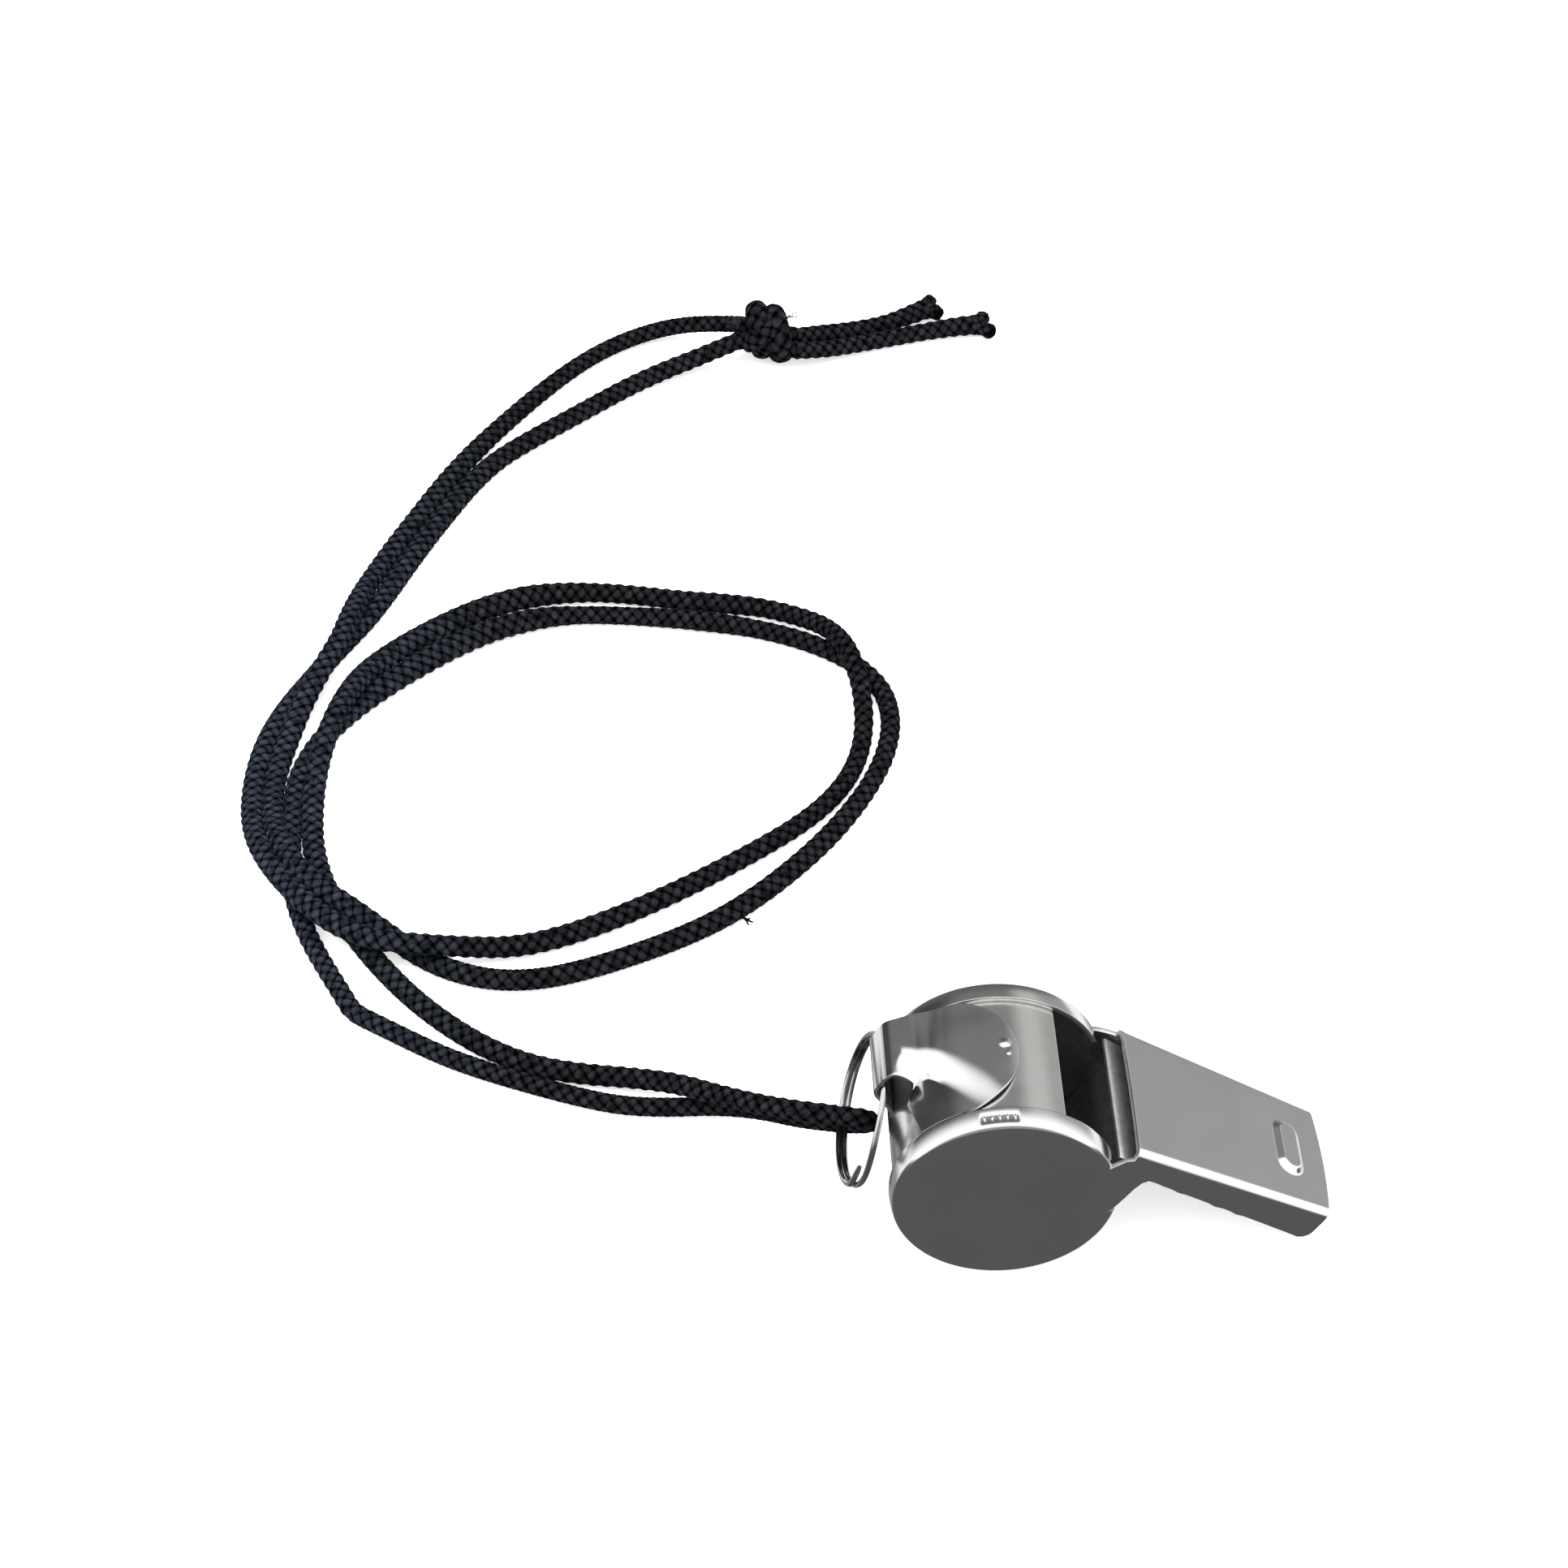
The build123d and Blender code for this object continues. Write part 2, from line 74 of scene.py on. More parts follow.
# ------------------------------------------------------------------ mesh helpers
def make_object(name, verts, faces, mat, sharp=38.0):
    me = bpy.data.meshes.new(name)
    me.from_pydata([tuple(v) for v in verts], [], faces)
    me.validate()
    ob = bpy.data.objects.new(name, me)
    bpy.context.scene.collection.objects.link(ob)
    me.materials.append(mat)
    me.polygons.foreach_set("use_smooth", [True] * len(me.polygons))
    if sharp:
        me.set_sharp_from_angle(angle=math.radians(sharp))
    return ob


def grid_faces(nu, nv, base=0, flip=False, wrap_v=False):
    out = []
    for i in range(nu - 1):
        for j in range(nv if wrap_v else nv - 1):
            a = base + i * nv + j
            b = base + i * nv + (j + 1) % nv
            c, d = b + nv, a + nv
            out.append((a, d, c, b) if flip else (a, b, c, d))
    return out


def weld(ob, dist=2e-6):
    bm = bmesh.new()
    bm.from_mesh(ob.data)
    bmesh.ops.remove_doubles(bm, verts=bm.verts, dist=dist)
    bm.to_mesh(ob.data)
    bm.free()


def face_out(ob, centre_of):
    """Turns the whole sheet so that its normals point away from centre_of(face centre)."""
    me = ob.data
    score = 0.0
    for p in me.polygons:
        score += p.area * p.normal.dot(p.center - Vector(centre_of(p.center)))
    if score < 0:
        me.flip_normals()


def finish_mesh(ob, thickness=0.0, offset=-1.0, bevel=0.0, segments=2, angle=32.0, sharp=38.0, rim=2):
    """Thickens a sheet, gives it a dull inside and rounds its edges, and keeps the result as plain mesh."""
    if thickness:
        m = ob.modifiers.new("sheet", "SOLIDIFY")
        m.thickness = thickness * MM
        m.offset = offset
        m.use_even_offset = True
        m.use_rim = True
        ob.data.materials.append(INSIDE)
        ob.data.materials.append(EDGE)
        m.material_offset = 1
        m.material_offset_rim = rim
    if bevel:
        m = ob.modifiers.new("edge", "BEVEL")
        m.width = bevel * MM
        m.segments = segments
        m.limit_method = "ANGLE"
        m.angle_limit = math.radians(angle)
        m.use_clamp_overlap = True
        m.harden_normals = False
    dg = bpy.context.evaluated_depsgraph_get()
    dg.update()
    new = bpy.data.meshes.new_from_object(ob.evaluated_get(dg))
    old = ob.data
    ob.modifiers.clear()
    ob.data = new
    new.name = ob.name
    bpy.data.meshes.remove(old)
    new.polygons.foreach_set("use_smooth", [True] * len(new.polygons))
    if sharp:
        new.set_sharp_from_angle(angle=math.radians(sharp))
    return ob


def join(name, objs):
    with bpy.context.temp_override(active_object=objs[0], object=objs[0], selected_objects=objs, selected_editable_objects=objs):
        bpy.ops.object.join()
    objs[0].name = name
    objs[0].data.name = name
    return objs[0]


# ------------------------------------------------------------------ materials
def new_material(name):
    mat = bpy.data.materials.new(name)
    mat.use_nodes = True
    nt = mat.node_tree
    nt.nodes.clear()
    out = nt.nodes.new("ShaderNodeOutputMaterial")
    bsdf = nt.nodes.new("ShaderNodeBsdfPrincipled")
    nt.links.new(bsdf.outputs["BSDF"], out.inputs["Surface"])
    return mat, nt, bsdf


def object_coords(nt, scale):
    co = nt.nodes.new("ShaderNodeTexCoord")
    mp = nt.nodes.new("ShaderNodeMapping")
    mp.inputs["Scale"].default_value = scale
    nt.links.new(co.outputs["Object"], mp.inputs["Vector"])
    return mp.outputs["Vector"]


def plated_metal(name, colour, rough_lo=0.16, rough_hi=0.20, dark=0.965, bump=0.012):
    """Bright plate: near-mirror, with faint haze patches, fine polishing lines and tiny pits."""
    mat, nt, bsdf = new_material(name)
    bsdf.inputs["Metallic"].default_value = 1.0
    vec = object_coords(nt, (1, 1, 1))
    haze = nt.nodes.new("ShaderNodeTexNoise")
    haze.inputs["Scale"].default_value = 260.0
    haze.inputs["Detail"].default_value = 5.0
    haze.inputs["Roughness"].default_value = 0.6
    nt.links.new(vec, haze.inputs["Vector"])
    rr = nt.nodes.new("ShaderNodeMapRange")
    rr.inputs["From Min"].default_value = 0.35
    rr.inputs["From Max"].default_value = 0.7
    rr.inputs["To Min"].default_value = rough_lo
    rr.inputs["To Max"].default_value = rough_hi
    nt.links.new(haze.outputs["Fac"], rr.inputs["Value"])
    nt.links.new(rr.outputs["Result"], bsdf.inputs["Roughness"])
    tone = nt.nodes.new("ShaderNodeTexNoise")
    tone.inputs["Scale"].default_value = 90.0
    tone.inputs["Detail"].default_value = 3.0
    nt.links.new(vec, tone.inputs["Vector"])
    ramp = nt.nodes.new("ShaderNodeValToRGB")
    ramp.color_ramp.elements[0].position = 0.3
    ramp.color_ramp.elements[0].color = (colour[0] * dark, colour[1] * dark, colour[2] * dark * 0.985, 1)
    ramp.color_ramp.elements[1].position = 0.62
    ramp.color_ramp.elements[1].color = (*colour, 1)
    nt.links.new(tone.outputs["Fac"], ramp.inputs["Fac"])
    nt.links.new(ramp.outputs["Color"], bsdf.inputs["Base Color"])
    lines = nt.nodes.new("ShaderNodeTexNoise")
    lines.inputs["Scale"].default_value = 1.0
    lines.inputs["Detail"].default_value = 2.0
    nt.links.new(object_coords(nt, (900, 5200, 900)), lines.inputs["Vector"])
    pits = nt.nodes.new("ShaderNodeTexNoise")
    pits.inputs["Scale"].default_value = 1500.0
    pits.inputs["Detail"].default_value = 2.0
    nt.links.new(vec, pits.inputs["Vector"])
    mix = nt.nodes.new("ShaderNodeMix")
    mix.inputs["Factor"].default_value = 0.5
    nt.links.new(lines.outputs["Fac"], mix.inputs["A"])
    nt.links.new(pits.outputs["Fac"], mix.inputs["B"])
    bp = nt.nodes.new("ShaderNodeBump")
    bp.inputs["Strength"].default_value = bump
    bp.inputs["Distance"].default_value = 0.00002
    nt.links.new(mix.outputs["Result"], bp.inputs["Height"])
    nt.links.new(bp.outputs["Normal"], bsdf.inputs["Normal"])
    return mat


def dull_metal(name, colour, rough):
    """Unpolished metal: the inside of a pressing or a sheared edge."""
    mat, nt, bsdf = new_material(name)
    bsdf.inputs["Metallic"].default_value = 1.0
    bsdf.inputs["Roughness"].default_value = rough
    grain = nt.nodes.new("ShaderNodeTexNoise")
    grain.inputs["Scale"].default_value = 1400.0
    grain.inputs["Detail"].default_value = 3.0
    nt.links.new(object_coords(nt, (1, 1, 1)), grain.inputs["Vector"])
    ramp = nt.nodes.new("ShaderNodeValToRGB")
    ramp.color_ramp.elements[0].position = 0.3
    ramp.color_ramp.elements[0].color = (colour[0] * 0.8, colour[1] * 0.8, colour[2] * 0.8, 1)
    ramp.color_ramp.elements[1].position = 0.7
    ramp.color_ramp.elements[1].color = (*colour, 1)
    nt.links.new(grain.outputs["Fac"], ramp.inputs["Fac"])
    nt.links.new(ramp.outputs["Color"], bsdf.inputs["Base Color"])
    return mat


SHELL = plated_metal("plated_shell", (0.66, 0.665, 0.67))
BAND = plated_metal("plated_band", (0.66, 0.66, 0.65), 0.19, 0.24)
LUG = plated_metal("plated_lug", (0.66, 0.665, 0.67), 0.13, 0.18)
WIRE = plated_metal("ring_wire", (0.50, 0.495, 0.485), 0.12, 0.20)
FLOOR_PLATE = dull_metal("windway_metal", (0.70, 0.70, 0.69), 0.5)
INSIDE = dull_metal("inside_metal", (0.48, 0.48, 0.485), 0.45)
# painted dark reflection: this dark dull metal is laid on the dented patch of the near rim
DARK_REFLECTION_PAINT = dull_metal("painted_dark_reflection", (0.22, 0.22, 0.225), 0.45)
EDGE = dull_metal("edge_metal", (0.80, 0.79, 0.77), 0.42)

# ------------------------------------------------------------------ body shell
SHEET = 0.5
R_CHEEK, HALF_W, TOP_Z = 11.0, 9.3, 10.7
TIP_X, TOP_REAR = 31.45, 8.1
PLATE_REAR = 8.5
BEND = 0.95                                 # outer rounding between top plate and walls
NECK_LO, NECK_HI = 19.5, 53.0               # where the cheeks run on into the mouthpiece
N_ROWS = 200                                # rows of mesh along the mouthpiece


def wall_half(x):
    return lerp(8.25, 6.95, (x - TOP_REAR) / (TIP_X - TOP_REAR))


def wall_low(x):
    return lerp(7.75, 6.62, (x - 11.4) / (TIP_X - 0.45 - 11.4)) if x > 11.4 else 7.75


def cheek_y(x, z):
    """Half width of the side sheet: flat over the cheek, stepping in along the neck."""
    r = math.hypot(x, z)
    t = smooth01((r - 9.9) / (13.4 - 9.9))
    return lerp(HALF_W, wall_half(max(x, TOP_REAR)), t) if x > 0 else HALF_W


def rim_marks(a, y):
    """A short row of beads in a pressed patch on the near rim; the patch also gets a painted dark reflection in
    body_shell.
    """
    if not 113 < a < 137 or y > 9.0:
        return 0.0
    patch = smooth01((a - 114.6) / 1.6) * (1 - smooth01((a - 134.0) / 1.6)) * math.exp(-((y - 8.25) / 0.5) ** 2)
    bead = max(0.0, math.cos(2 * math.pi * (a - 117.3) / 3.83)) ** 3 * math.exp(-((y - 8.1) / 0.25) ** 2)
    return patch * (-0.13 + 0.16 * bead)


def side_sheet(side):
    verts, faces = [], []
    # cheek disc and its turned rim, outside the neck
    prof = [(0.0, 9.3), (3.5, 9.3), (7.0, 9.3), (9.2, 9.3), (9.9, 9.3), (10.2, 9.295)]
    for k in range(1, 10):
        a = math.radians(90 - 9.0 * k)
        prof.append((10.2 + 0.66 * math.cos(a), 8.635 + 0.66 * math.sin(a)))
    for k in range(1, 15):
        y = lerp(8.738, 6.98, k / 14)
        prof.append((11.0 - 0.049 * (y - 7.0) ** 2, y))
    n_ang = 900
    angs = [NECK_HI + (360 + NECK_LO - NECK_HI) * i / (n_ang - 1) for i in range(n_ang)]
    base = len(verts)
    for a in angs:
        for r, y in prof:
            x, z = polar(r + (rim_marks(a, y) if side < 0 else 0.0), a)
            verts.append(wp(x, y * side, z))
    faces += grid_faces(n_ang, len(prof), base)
    # the same disc inside the neck, running on into the neck
    flat = [p for p in prof if p[0] <= 10.201]
    n_in = 34
    base = len(verts)
    for i in range(n_in):
        a = NECK_LO + (NECK_HI - NECK_LO) * i / (n_in - 1)
        for r, _ in flat:
            x, z = polar(r, a)
            verts.append(wp(x, cheek_y(x, z) * side, z))
    faces += grid_faces(n_in, len(flat), base)
    # neck and mouthpiece wall: rows from the disc to the tip, from the lower edge up
    low = [polar(10.2, NECK_LO), (9.98, 4.25), (10.32, 5.2), (10.72, 6.3), (11.08, 7.15), (11.5, 7.72), (12.1, 7.75), (13.0, 7.69)]
    top = [polar(10.2, NECK_HI), (6.62, 8.72), (7.15, 9.12), (7.72, 9.5), (PLATE_REAR, 9.75), (8.8, 9.75), (9.1, 9.75), (10.2, 9.75)]
    n_st = N_ROWS
    for i in range(1, n_st):
        t = i / (n_st - 1)
        low.append((lerp(13.0, TIP_X - 0.45, t), wall_low(lerp(13.0, TIP_X - 0.45, t))))
        top.append((lerp(10.2, TIP_X - 0.45, t), TOP_Z - BEND))
    n_v = n_in
    base = len(verts)
    rc = 1.3
    for row, ((lx, lz), (tx, tz)) in enumerate(zip(low, top)):
        for j in range(n_v):
            v = j / (n_v - 1)
            x, z = lerp(lx, tx, v), lerp(lz, tz, v)
            # the first rows keep the curve of the disc they leave
            ax, az = polar(10.2, lerp(NECK_LO, NECK_HI, v))
            left = max(0.0, 1 - row / 5)
            x += (ax - lerp(low[0][0], top[0][0], v)) * left
            z += (az - lerp(low[0][1], top[0][1], v)) * left
            # rounded lower corner of the tip
            over = rc - (z - wall_low(TIP_X))
            if over > 0 and x > 20:
                cut = rc - math.sqrt(max(rc * rc - over * over, 0.0))
                x = x - cut * ((x - 20) / (TIP_X - 0.45 - 20)) ** 3
            # crimped lower edge: three shallow tabs
            if v < 0.25 and x > 13:
                for cx, amp in ((15.2, 0.10), (19.7, 0.13), (22.3, 0.12)):
                    z -= amp * math.exp(-((x - cx) / 0.55) ** 2) * (1 - v / 0.25)
            verts.append(wp(x, cheek_y(x, z) * side, z))
    faces += grid_faces(len(low), n_v, base)
    return verts, faces, n_st


def top_plate():
    verts, faces = [], []
    xs = [PLATE_REAR, 8.8, 9.1] + [lerp(10.2, TIP_X - 0.45, i / (N_ROWS - 1)) for i in range(N_ROWS)]
    cols = []
    n_arc, n_flat = 9, 130
    for k in range(n_arc):
        a = math.radians(90.0 * k / (n_arc - 1))
        cols.append(("arc", a))
    for k in range(1, n_flat):
        cols.append(("flat", -1 + 2 * k / n_flat))
    for k in range(n_arc):
        a = math.radians(90 - 90.0 * k / (n_arc - 1))
        cols.append(("far", a))
    for x in xs:
        t = (x - TOP_REAR) / (TIP_X - 0.45 - TOP_REAR)
        for kind, v in cols:
            w = wall_half(max(x, TOP_REAR))
            if x < 13.4:
                w = cheek_y(x, TOP_Z - BEND)
            if kind == "flat":
                y, z = v * (w - BEND), TOP_Z
            else:
                y = (w - BEND) + BEND * math.cos(v)
                z = TOP_Z - BEND + BEND * math.sin(v)
                y = -y if kind == "arc" else y
            # convex tip and softened corners, seen from above
            q = min(1.0, abs(y) / 6.95)
            dx = 0.45 - 0.45 * q * q
            xx = x + dx * max(0.0, t) ** 6
            # rear edge: a very slight bow
            if t < 0.02:
                xx += 0.12 * (1 - q * q)
            # raised bite stop: a pressed slot across the plate
            if kind == "flat":
                ex, ey = (xx - 27.15), (y - 0.15)
                core = max(abs(ey) - 1.85, 0.0)
                d = math.hypot(ex, core)
                z += 0.50 * (1 - smooth01((d - 0.85) / 0.75))
            verts.append(wp(xx, y, z))
    faces += grid_faces(len(xs), len(cols), 0)
    return verts, faces


def body_shell():
    v1, f1, _ = side_sheet(-1)
    v2, f2, _ = side_sheet(1)
    v3, f3 = top_plate()
    verts = list(v1)
    faces = list(f1)
    faces += [tuple(i + len(verts) for i in reversed(f)) for f in f2]
    verts += v2
    faces += [tuple(i + len(verts) for i in f) for f in f3]
    verts += v3
    ob = make_object("shell", verts, faces, SHELL, sharp=None)
    weld(ob, 4e-5)
    bm = bmesh.new()
    bm.from_mesh(ob.data)
    bmesh.ops.dissolve_degenerate(bm, edges=bm.edges, dist=1e-7)
    bmesh.ops.recalc_face_normals(bm, faces=bm.faces)
    bm.to_mesh(ob.data)
    bm.free()

    # outward means away from the whistle's middle plane and from the inside of the mouthpiece
    def inner(c):
        x = (c.x / MM - BX) * CT - (c.z / MM - BZ) * ST
        z = (c.x / MM - BX) * ST + (c.z / MM - BZ) * CT
        return wp(min(max(x, 0), 28), 0, 8.0 if x > 11 else 0.0)
    face_out(ob, inner)
    # the dented patch on the near rim gets a dark dull metal: a painted dark reflection
    for p in ob.data.polygons:
        c = p.center
        x = (c.x / MM - BX) * CT - (c.z / MM - BZ) * ST
        z = (c.x / MM - BX) * ST + (c.z / MM - BZ) * CT
        y, a = c.y / MM - BY, math.degrees(math.atan2(z, x))
        if -8.85 < y < -7.75 and 115.3 < a < 134.9 and math.hypot(x, z) > 10.5 and rim_marks(a, -y) < -0.075:
            p.material_index = 3
    finish_mesh(ob, SHEET, -1.0, bevel=0.07, segments=2, angle=50, sharp=40)
    # the dark dull metal of the painted dark reflection takes the fourth slot
    ob.data.materials.append(DARK_REFLECTION_PAINT)
    return ob


shell = body_shell()
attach(shell, "whistle")
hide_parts("body_shell")


# ------------------------------------------------------------------ barrel band and mouthpiece floor
def strip(name, line, half, mat, n_y=9, thickness=SHEET, offset=-1.0, bevel=0.06, inside=(4.0, 2.0)):
    verts = []
    for (x, z) in line:
        w = half(x, z)
        for j in range(n_y):
            verts.append(wp(x, lerp(-w, w, j / (n_y - 1)), z))
    ob = make_object(name, verts, grid_faces(len(line), n_y), mat, sharp=None)
    face_out(ob, lambda c: wp(inside[0], 0, inside[1]))
    return finish_mesh(ob, thickness, offset, bevel=bevel, angle=40, sharp=40)


def band_half(x, z):
    r = math.hypot(x, z)
    if x > 5 and r > 9.7:
        return min(8.66, cheek_y(x, z) - 0.56)
    return 8.66


band_line = [polar(10.48, 88 + 292 * i / 150) for i in range(151)]
n0 = band_line[-1]
band_line += [(lerp(n0[0], 11.3, t / 8), lerp(n0[1], 7.8, t / 8)) for t in range(1, 9)]
band_line += [(lerp(11.3, TIP_X - 0.9, t / 30), lerp(7.8, 6.72, t / 30)) for t in range(1, 31)]
band = strip("band", band_line, band_half, BAND)
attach(band, "whistle")
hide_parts("barrel_band")

floor_slope = (6.72 - 7.8) / (TIP_X - 0.9 - 11.3)
plate_line = [(x, 8.33 + floor_slope * (x - 10.93) + SHEET) for x in [7.4 + (29.6 - 7.4) * i / 40 for i in range(41)]]
windway = strip("windway", plate_line, lambda x, z: min(7.7, wall_half(max(x, TOP_REAR)) - 0.57), FLOOR_PLATE, bevel=0.18, inside=(20, 4.0))
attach(windway, "whistle")
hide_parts("windway_plate")


# ------------------------------------------------------------------ ring lug
LUG_OUT = 11.0                              # outside of the leaf where it lies on the barrel
# all by the angle round the barrel: height of the hood's crest above that, where its crest and
# its foot run across the leaf, and the near edge of the hood
CREST = [(104, 0.10), (112, 0.12), (120, 0.22), (130, 0.42), (140, 0.56), (148, 0.68), (155, 0.87), (161, 1.19), (164.2, 1.47), (167.4, 1.80),
         (169.3, 2.03), (171.14, 2.268), (172.08, 2.376), (173.15, 2.456), (174.25, 2.495), (175.36, 2.494), (178.72, 2.453),
         (181.7, 2.456), (183.84, 2.45), (185.95, 2.322), (187.76, 1.969), (189.37, 1.466), (191.4, 0.885), (193.07, 0.5),
         (195.5, 0.2), (198, 0), (220, 0)]
CREST_Y = [(115, -5.0), (121.5, -4.6), (129.3, -2.5), (142, -0.2), (147.6, 0.8), (156.4, 1.9), (167, 3.0)]
FOOT_Y = [(115, -8.6), (121.5, -8.0), (129, -7.2), (135, -6.4), (142, -4.8), (147.6, -3.4), (153, -2.0), (156.4, -1.1), (160, -0.4), (164, 0.1), (168, 0.2)]
HOOD_Y = [(167, -0.41), (169.5, -0.3), (172, -0.2), (180, 0), (220, 0)]
LUG_NEAR, LUG_FAR, HOOD_FROM = -6.9, 6.75, 167.0
TONGUE_Y, MOUTH_Y = -2.15, -0.41               # the near flank's point, and the corner of the mouth
LUG_SHEET = 0.35


def eased(rows, spread):
    """The table with its corners eased, as even samples."""
    a = np.arange(rows[0][0] - 12, rows[-1][0] + 12, 0.2)
    v = np.interp(a, [r[0] for r in rows], [r[1] for r in rows])
    k = np.arange(-4 * spread, 4 * spread + 0.1, 0.2)
    w = np.exp(-0.5 * (k / spread) ** 2)
    w /= w.sum()
    h = len(w) // 2
    return list(zip(a, np.convolve(np.pad(v, h, "edge"), w, "valid")))


CREST = eased(CREST, 0.4)
CREST_Y = eased(CREST_Y, 2.5)
FOOT_Y = eased(FOOT_Y, 2.5)


TABLES = {}


def table(rows, a):
    if id(rows) not in TABLES:
        TABLES[id(rows)] = np.array(rows).T
    return float(np.interp(a, *TABLES[id(rows)]))


def ridge(a, y):
    """0 where the sheet lies on the barrel and 1 on the crest of the ridge that runs into the hood."""
    foot, crest = table(FOOT_Y, a), table(CREST_Y, a)
    t = min(1.0, max(0.0, (y - foot + 0.4) / (crest - foot + 0.8)))
    return lerp(smooth01(t), 1 - (1 - t) ** 2.2, smooth01((a - 150) / 12))


def leaf_height(a, y):
    c = table(CREST, a)
    fall = min(0.35, 0.85 * c) * smooth01((y - 2.0) / 5.0) * (1 - smooth01((a - 152) / 12))
    h = c * ridge(a, y) - fall
    # spot weld: a small raised nugget, and a spatter beside it
    s = math.radians(a - 118.9) * LUG_OUT
    h += 0.13 * (1 - smooth01(math.hypot(s, y - 0.9) / 0.72))
    h -= 0.10 * (1 - smooth01(math.hypot(s + 0.25, y - 0.45) / 0.34))
    s = math.radians(a - 117.3) * LUG_OUT
    h += 0.09 * (1 - smooth01(math.hypot(s, y + 0.35) / 0.28))
    return h


def leaf_start(y):
    t = -3.92 + math.sqrt(max(6.95 ** 2 - y * y, 0))
    return 128 - math.degrees(math.atan2(t, 10.75))


def leaf_end(y):
    if y < TONGUE_Y:
        return lerp(166.6, 176.2, (y - LUG_NEAR) / (TONGUE_Y - LUG_NEAR))
    if y < MOUTH_Y:
        return lerp(176.2, HOOD_FROM, (y - TONGUE_Y) / (MOUTH_Y - TONGUE_Y))
    return HOOD_FROM


def ease_corner(ob, centre, reach, rounds):
    """Smooths the sheet round a point, fading out at the reach; an edge point follows only its edge."""
    bm = bmesh.new()
    bm.from_mesh(ob.data)
    rows = []
    for v in bm.verts:
        d = (v.co - centre).length
        if d < reach:
            beside = [e.other_vert(v) for e in v.link_edges if e.is_boundary or not v.is_boundary]
            rows.append((v, beside, 0.5 * (1 - smooth01(d / reach))))
    for _ in range(rounds):
        moved = [v.co.lerp(sum((n.co for n in beside), Vector()) / len(beside), w) for v, beside, w in rows]
        for (v, beside, w), co in zip(rows, moved):
            v.co = co
    bm.to_mesh(ob.data)
    bm.free()


def ring_lug():
    verts, faces = [], []
    near = [lerp(LUG_NEAR, TONGUE_Y, i / 40) for i in range(40)] + [lerp(TONGUE_Y, MOUTH_Y, i / 16) for i in range(16)]
    far = [lerp(MOUTH_Y, LUG_FAR, i / 70) for i in range(71)]
    n_col = 200
    for y in near + far:
        for i in range(n_col):
            a = lerp(leaf_start(y), leaf_end(y), i / (n_col - 1))
            x, z = polar(LUG_OUT + leaf_height(a, y), a)
            verts.append(wp(x, y, z))
    faces += grid_faces(len(near) + len(far), n_col)
    base = len(verts)
    angs = [HOOD_FROM + 33.0 * i / 116 for i in range(117)]
    for y0 in far:
        v = (y0 - MOUTH_Y) / (LUG_FAR - MOUTH_Y)
        for a in angs:
            y = lerp(table(HOOD_Y, a), LUG_FAR, v)
            full = lerp(ridge(HOOD_FROM, y0), 1.0, smooth01((a - HOOD_FROM) / lerp(2.8, 1.0, smooth01((y0 - MOUTH_Y) / 3.2))))
            # the tail is tucked into the band
            x, z = polar(LUG_OUT + table(CREST, a) * full - 0.3 * smooth01((a - 191.5) / 4.5), a)
            verts.append(wp(x, y, z))
    faces += grid_faces(len(far), len(angs), base)
    ob = make_object("lug", verts, faces, LUG, sharp=None)
    weld(ob, 1e-6)
    x, z = polar(LUG_OUT + 1.0, 168.5)
    ease_corner(ob, Vector(wp(x, 0.1, z)), 2.3 * MM, 90)
    face_out(ob, lambda c: wp(0, 0, 0))
    return finish_mesh(ob, LUG_SHEET, -1.0, bevel=0.11, segments=3, angle=50, sharp=46, rim=0)


lug = ring_lug()
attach(lug, "whistle")
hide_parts("ring_lug")


# ------------------------------------------------------------------ split ring
def tube(name, pts, radius, mat, n_round=14, caps=True, taper=None):
    pts = [Vector(p) for p in pts]
    n = len(pts)
    tang = [(pts[min(i + 1, n - 1)] - pts[max(i - 1, 0)]).normalized() for i in range(n)]
    ref = Vector((0, 0, 1)) if abs(tang[0].z) < 0.9 else Vector((0, 1, 0))
    u = (ref - tang[0] * ref.dot(tang[0])).normalized()
    verts = []
    for i in range(n):
        u = (u - tang[i] * u.dot(tang[i])).normalized()
        w = tang[i].cross(u)
        r = radius * (taper(i / (n - 1)) if taper else 1.0)
        for k in range(n_round):
            a = 2 * math.pi * k / n_round
            verts.append(pts[i] + (u * math.cos(a) + w * math.sin(a)) * r)
    faces = grid_faces(n, n_round, 0, wrap_v=True, flip=True)
    if caps:
        faces.append(tuple(range(n_round)))
        faces.append(tuple(reversed(range((n - 1) * n_round, n * n_round))))
    ob = make_object(name, verts, faces, mat, sharp=None)
    bm = bmesh.new()
    bm.from_mesh(ob.data)
    bmesh.ops.recalc_face_normals(bm, faces=bm.faces)
    bm.to_mesh(ob.data)
    bm.free()
    ob.data.polygons.foreach_set("use_smooth", [True] * len(ob.data.polygons))
    ob.data.set_sharp_from_angle(angle=math.radians(40))
    return ob


LEAN = math.radians(18.0)
RC = Vector(((BX - 12.72) * MM, (BY + 3.3) * MM, 10.85 * MM))
RN = Vector((math.cos(LEAN), 0, -math.sin(LEAN)))
RD = Vector((-math.sin(LEAN), 0, -math.cos(LEAN)))
ring_pts = []
for i in range(587):
    phi = -62.0 + i
    off = lerp(0.285, -0.285, smooth01((phi - 146.0) / 66.0))
    r = 7.4 - 1.15 * smooth01((phi - 498.0) / 27.0)       # the loose end stands off into the ring
    a = math.radians(phi)
    ring_pts.append(RC + (Vector((0, 1, 0)) * math.cos(a) + RD * math.sin(a)) * r * MM + RN * off * MM)
ring = tube("ring_wire", ring_pts, 0.305 * MM, WIRE,
            taper=lambda t: 1.0 - 0.25 * smooth01((0.012 - t) / 0.012) - 0.25 * smooth01((t - 0.988) / 0.012))
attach(ring, "ring")
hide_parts("split_ring")

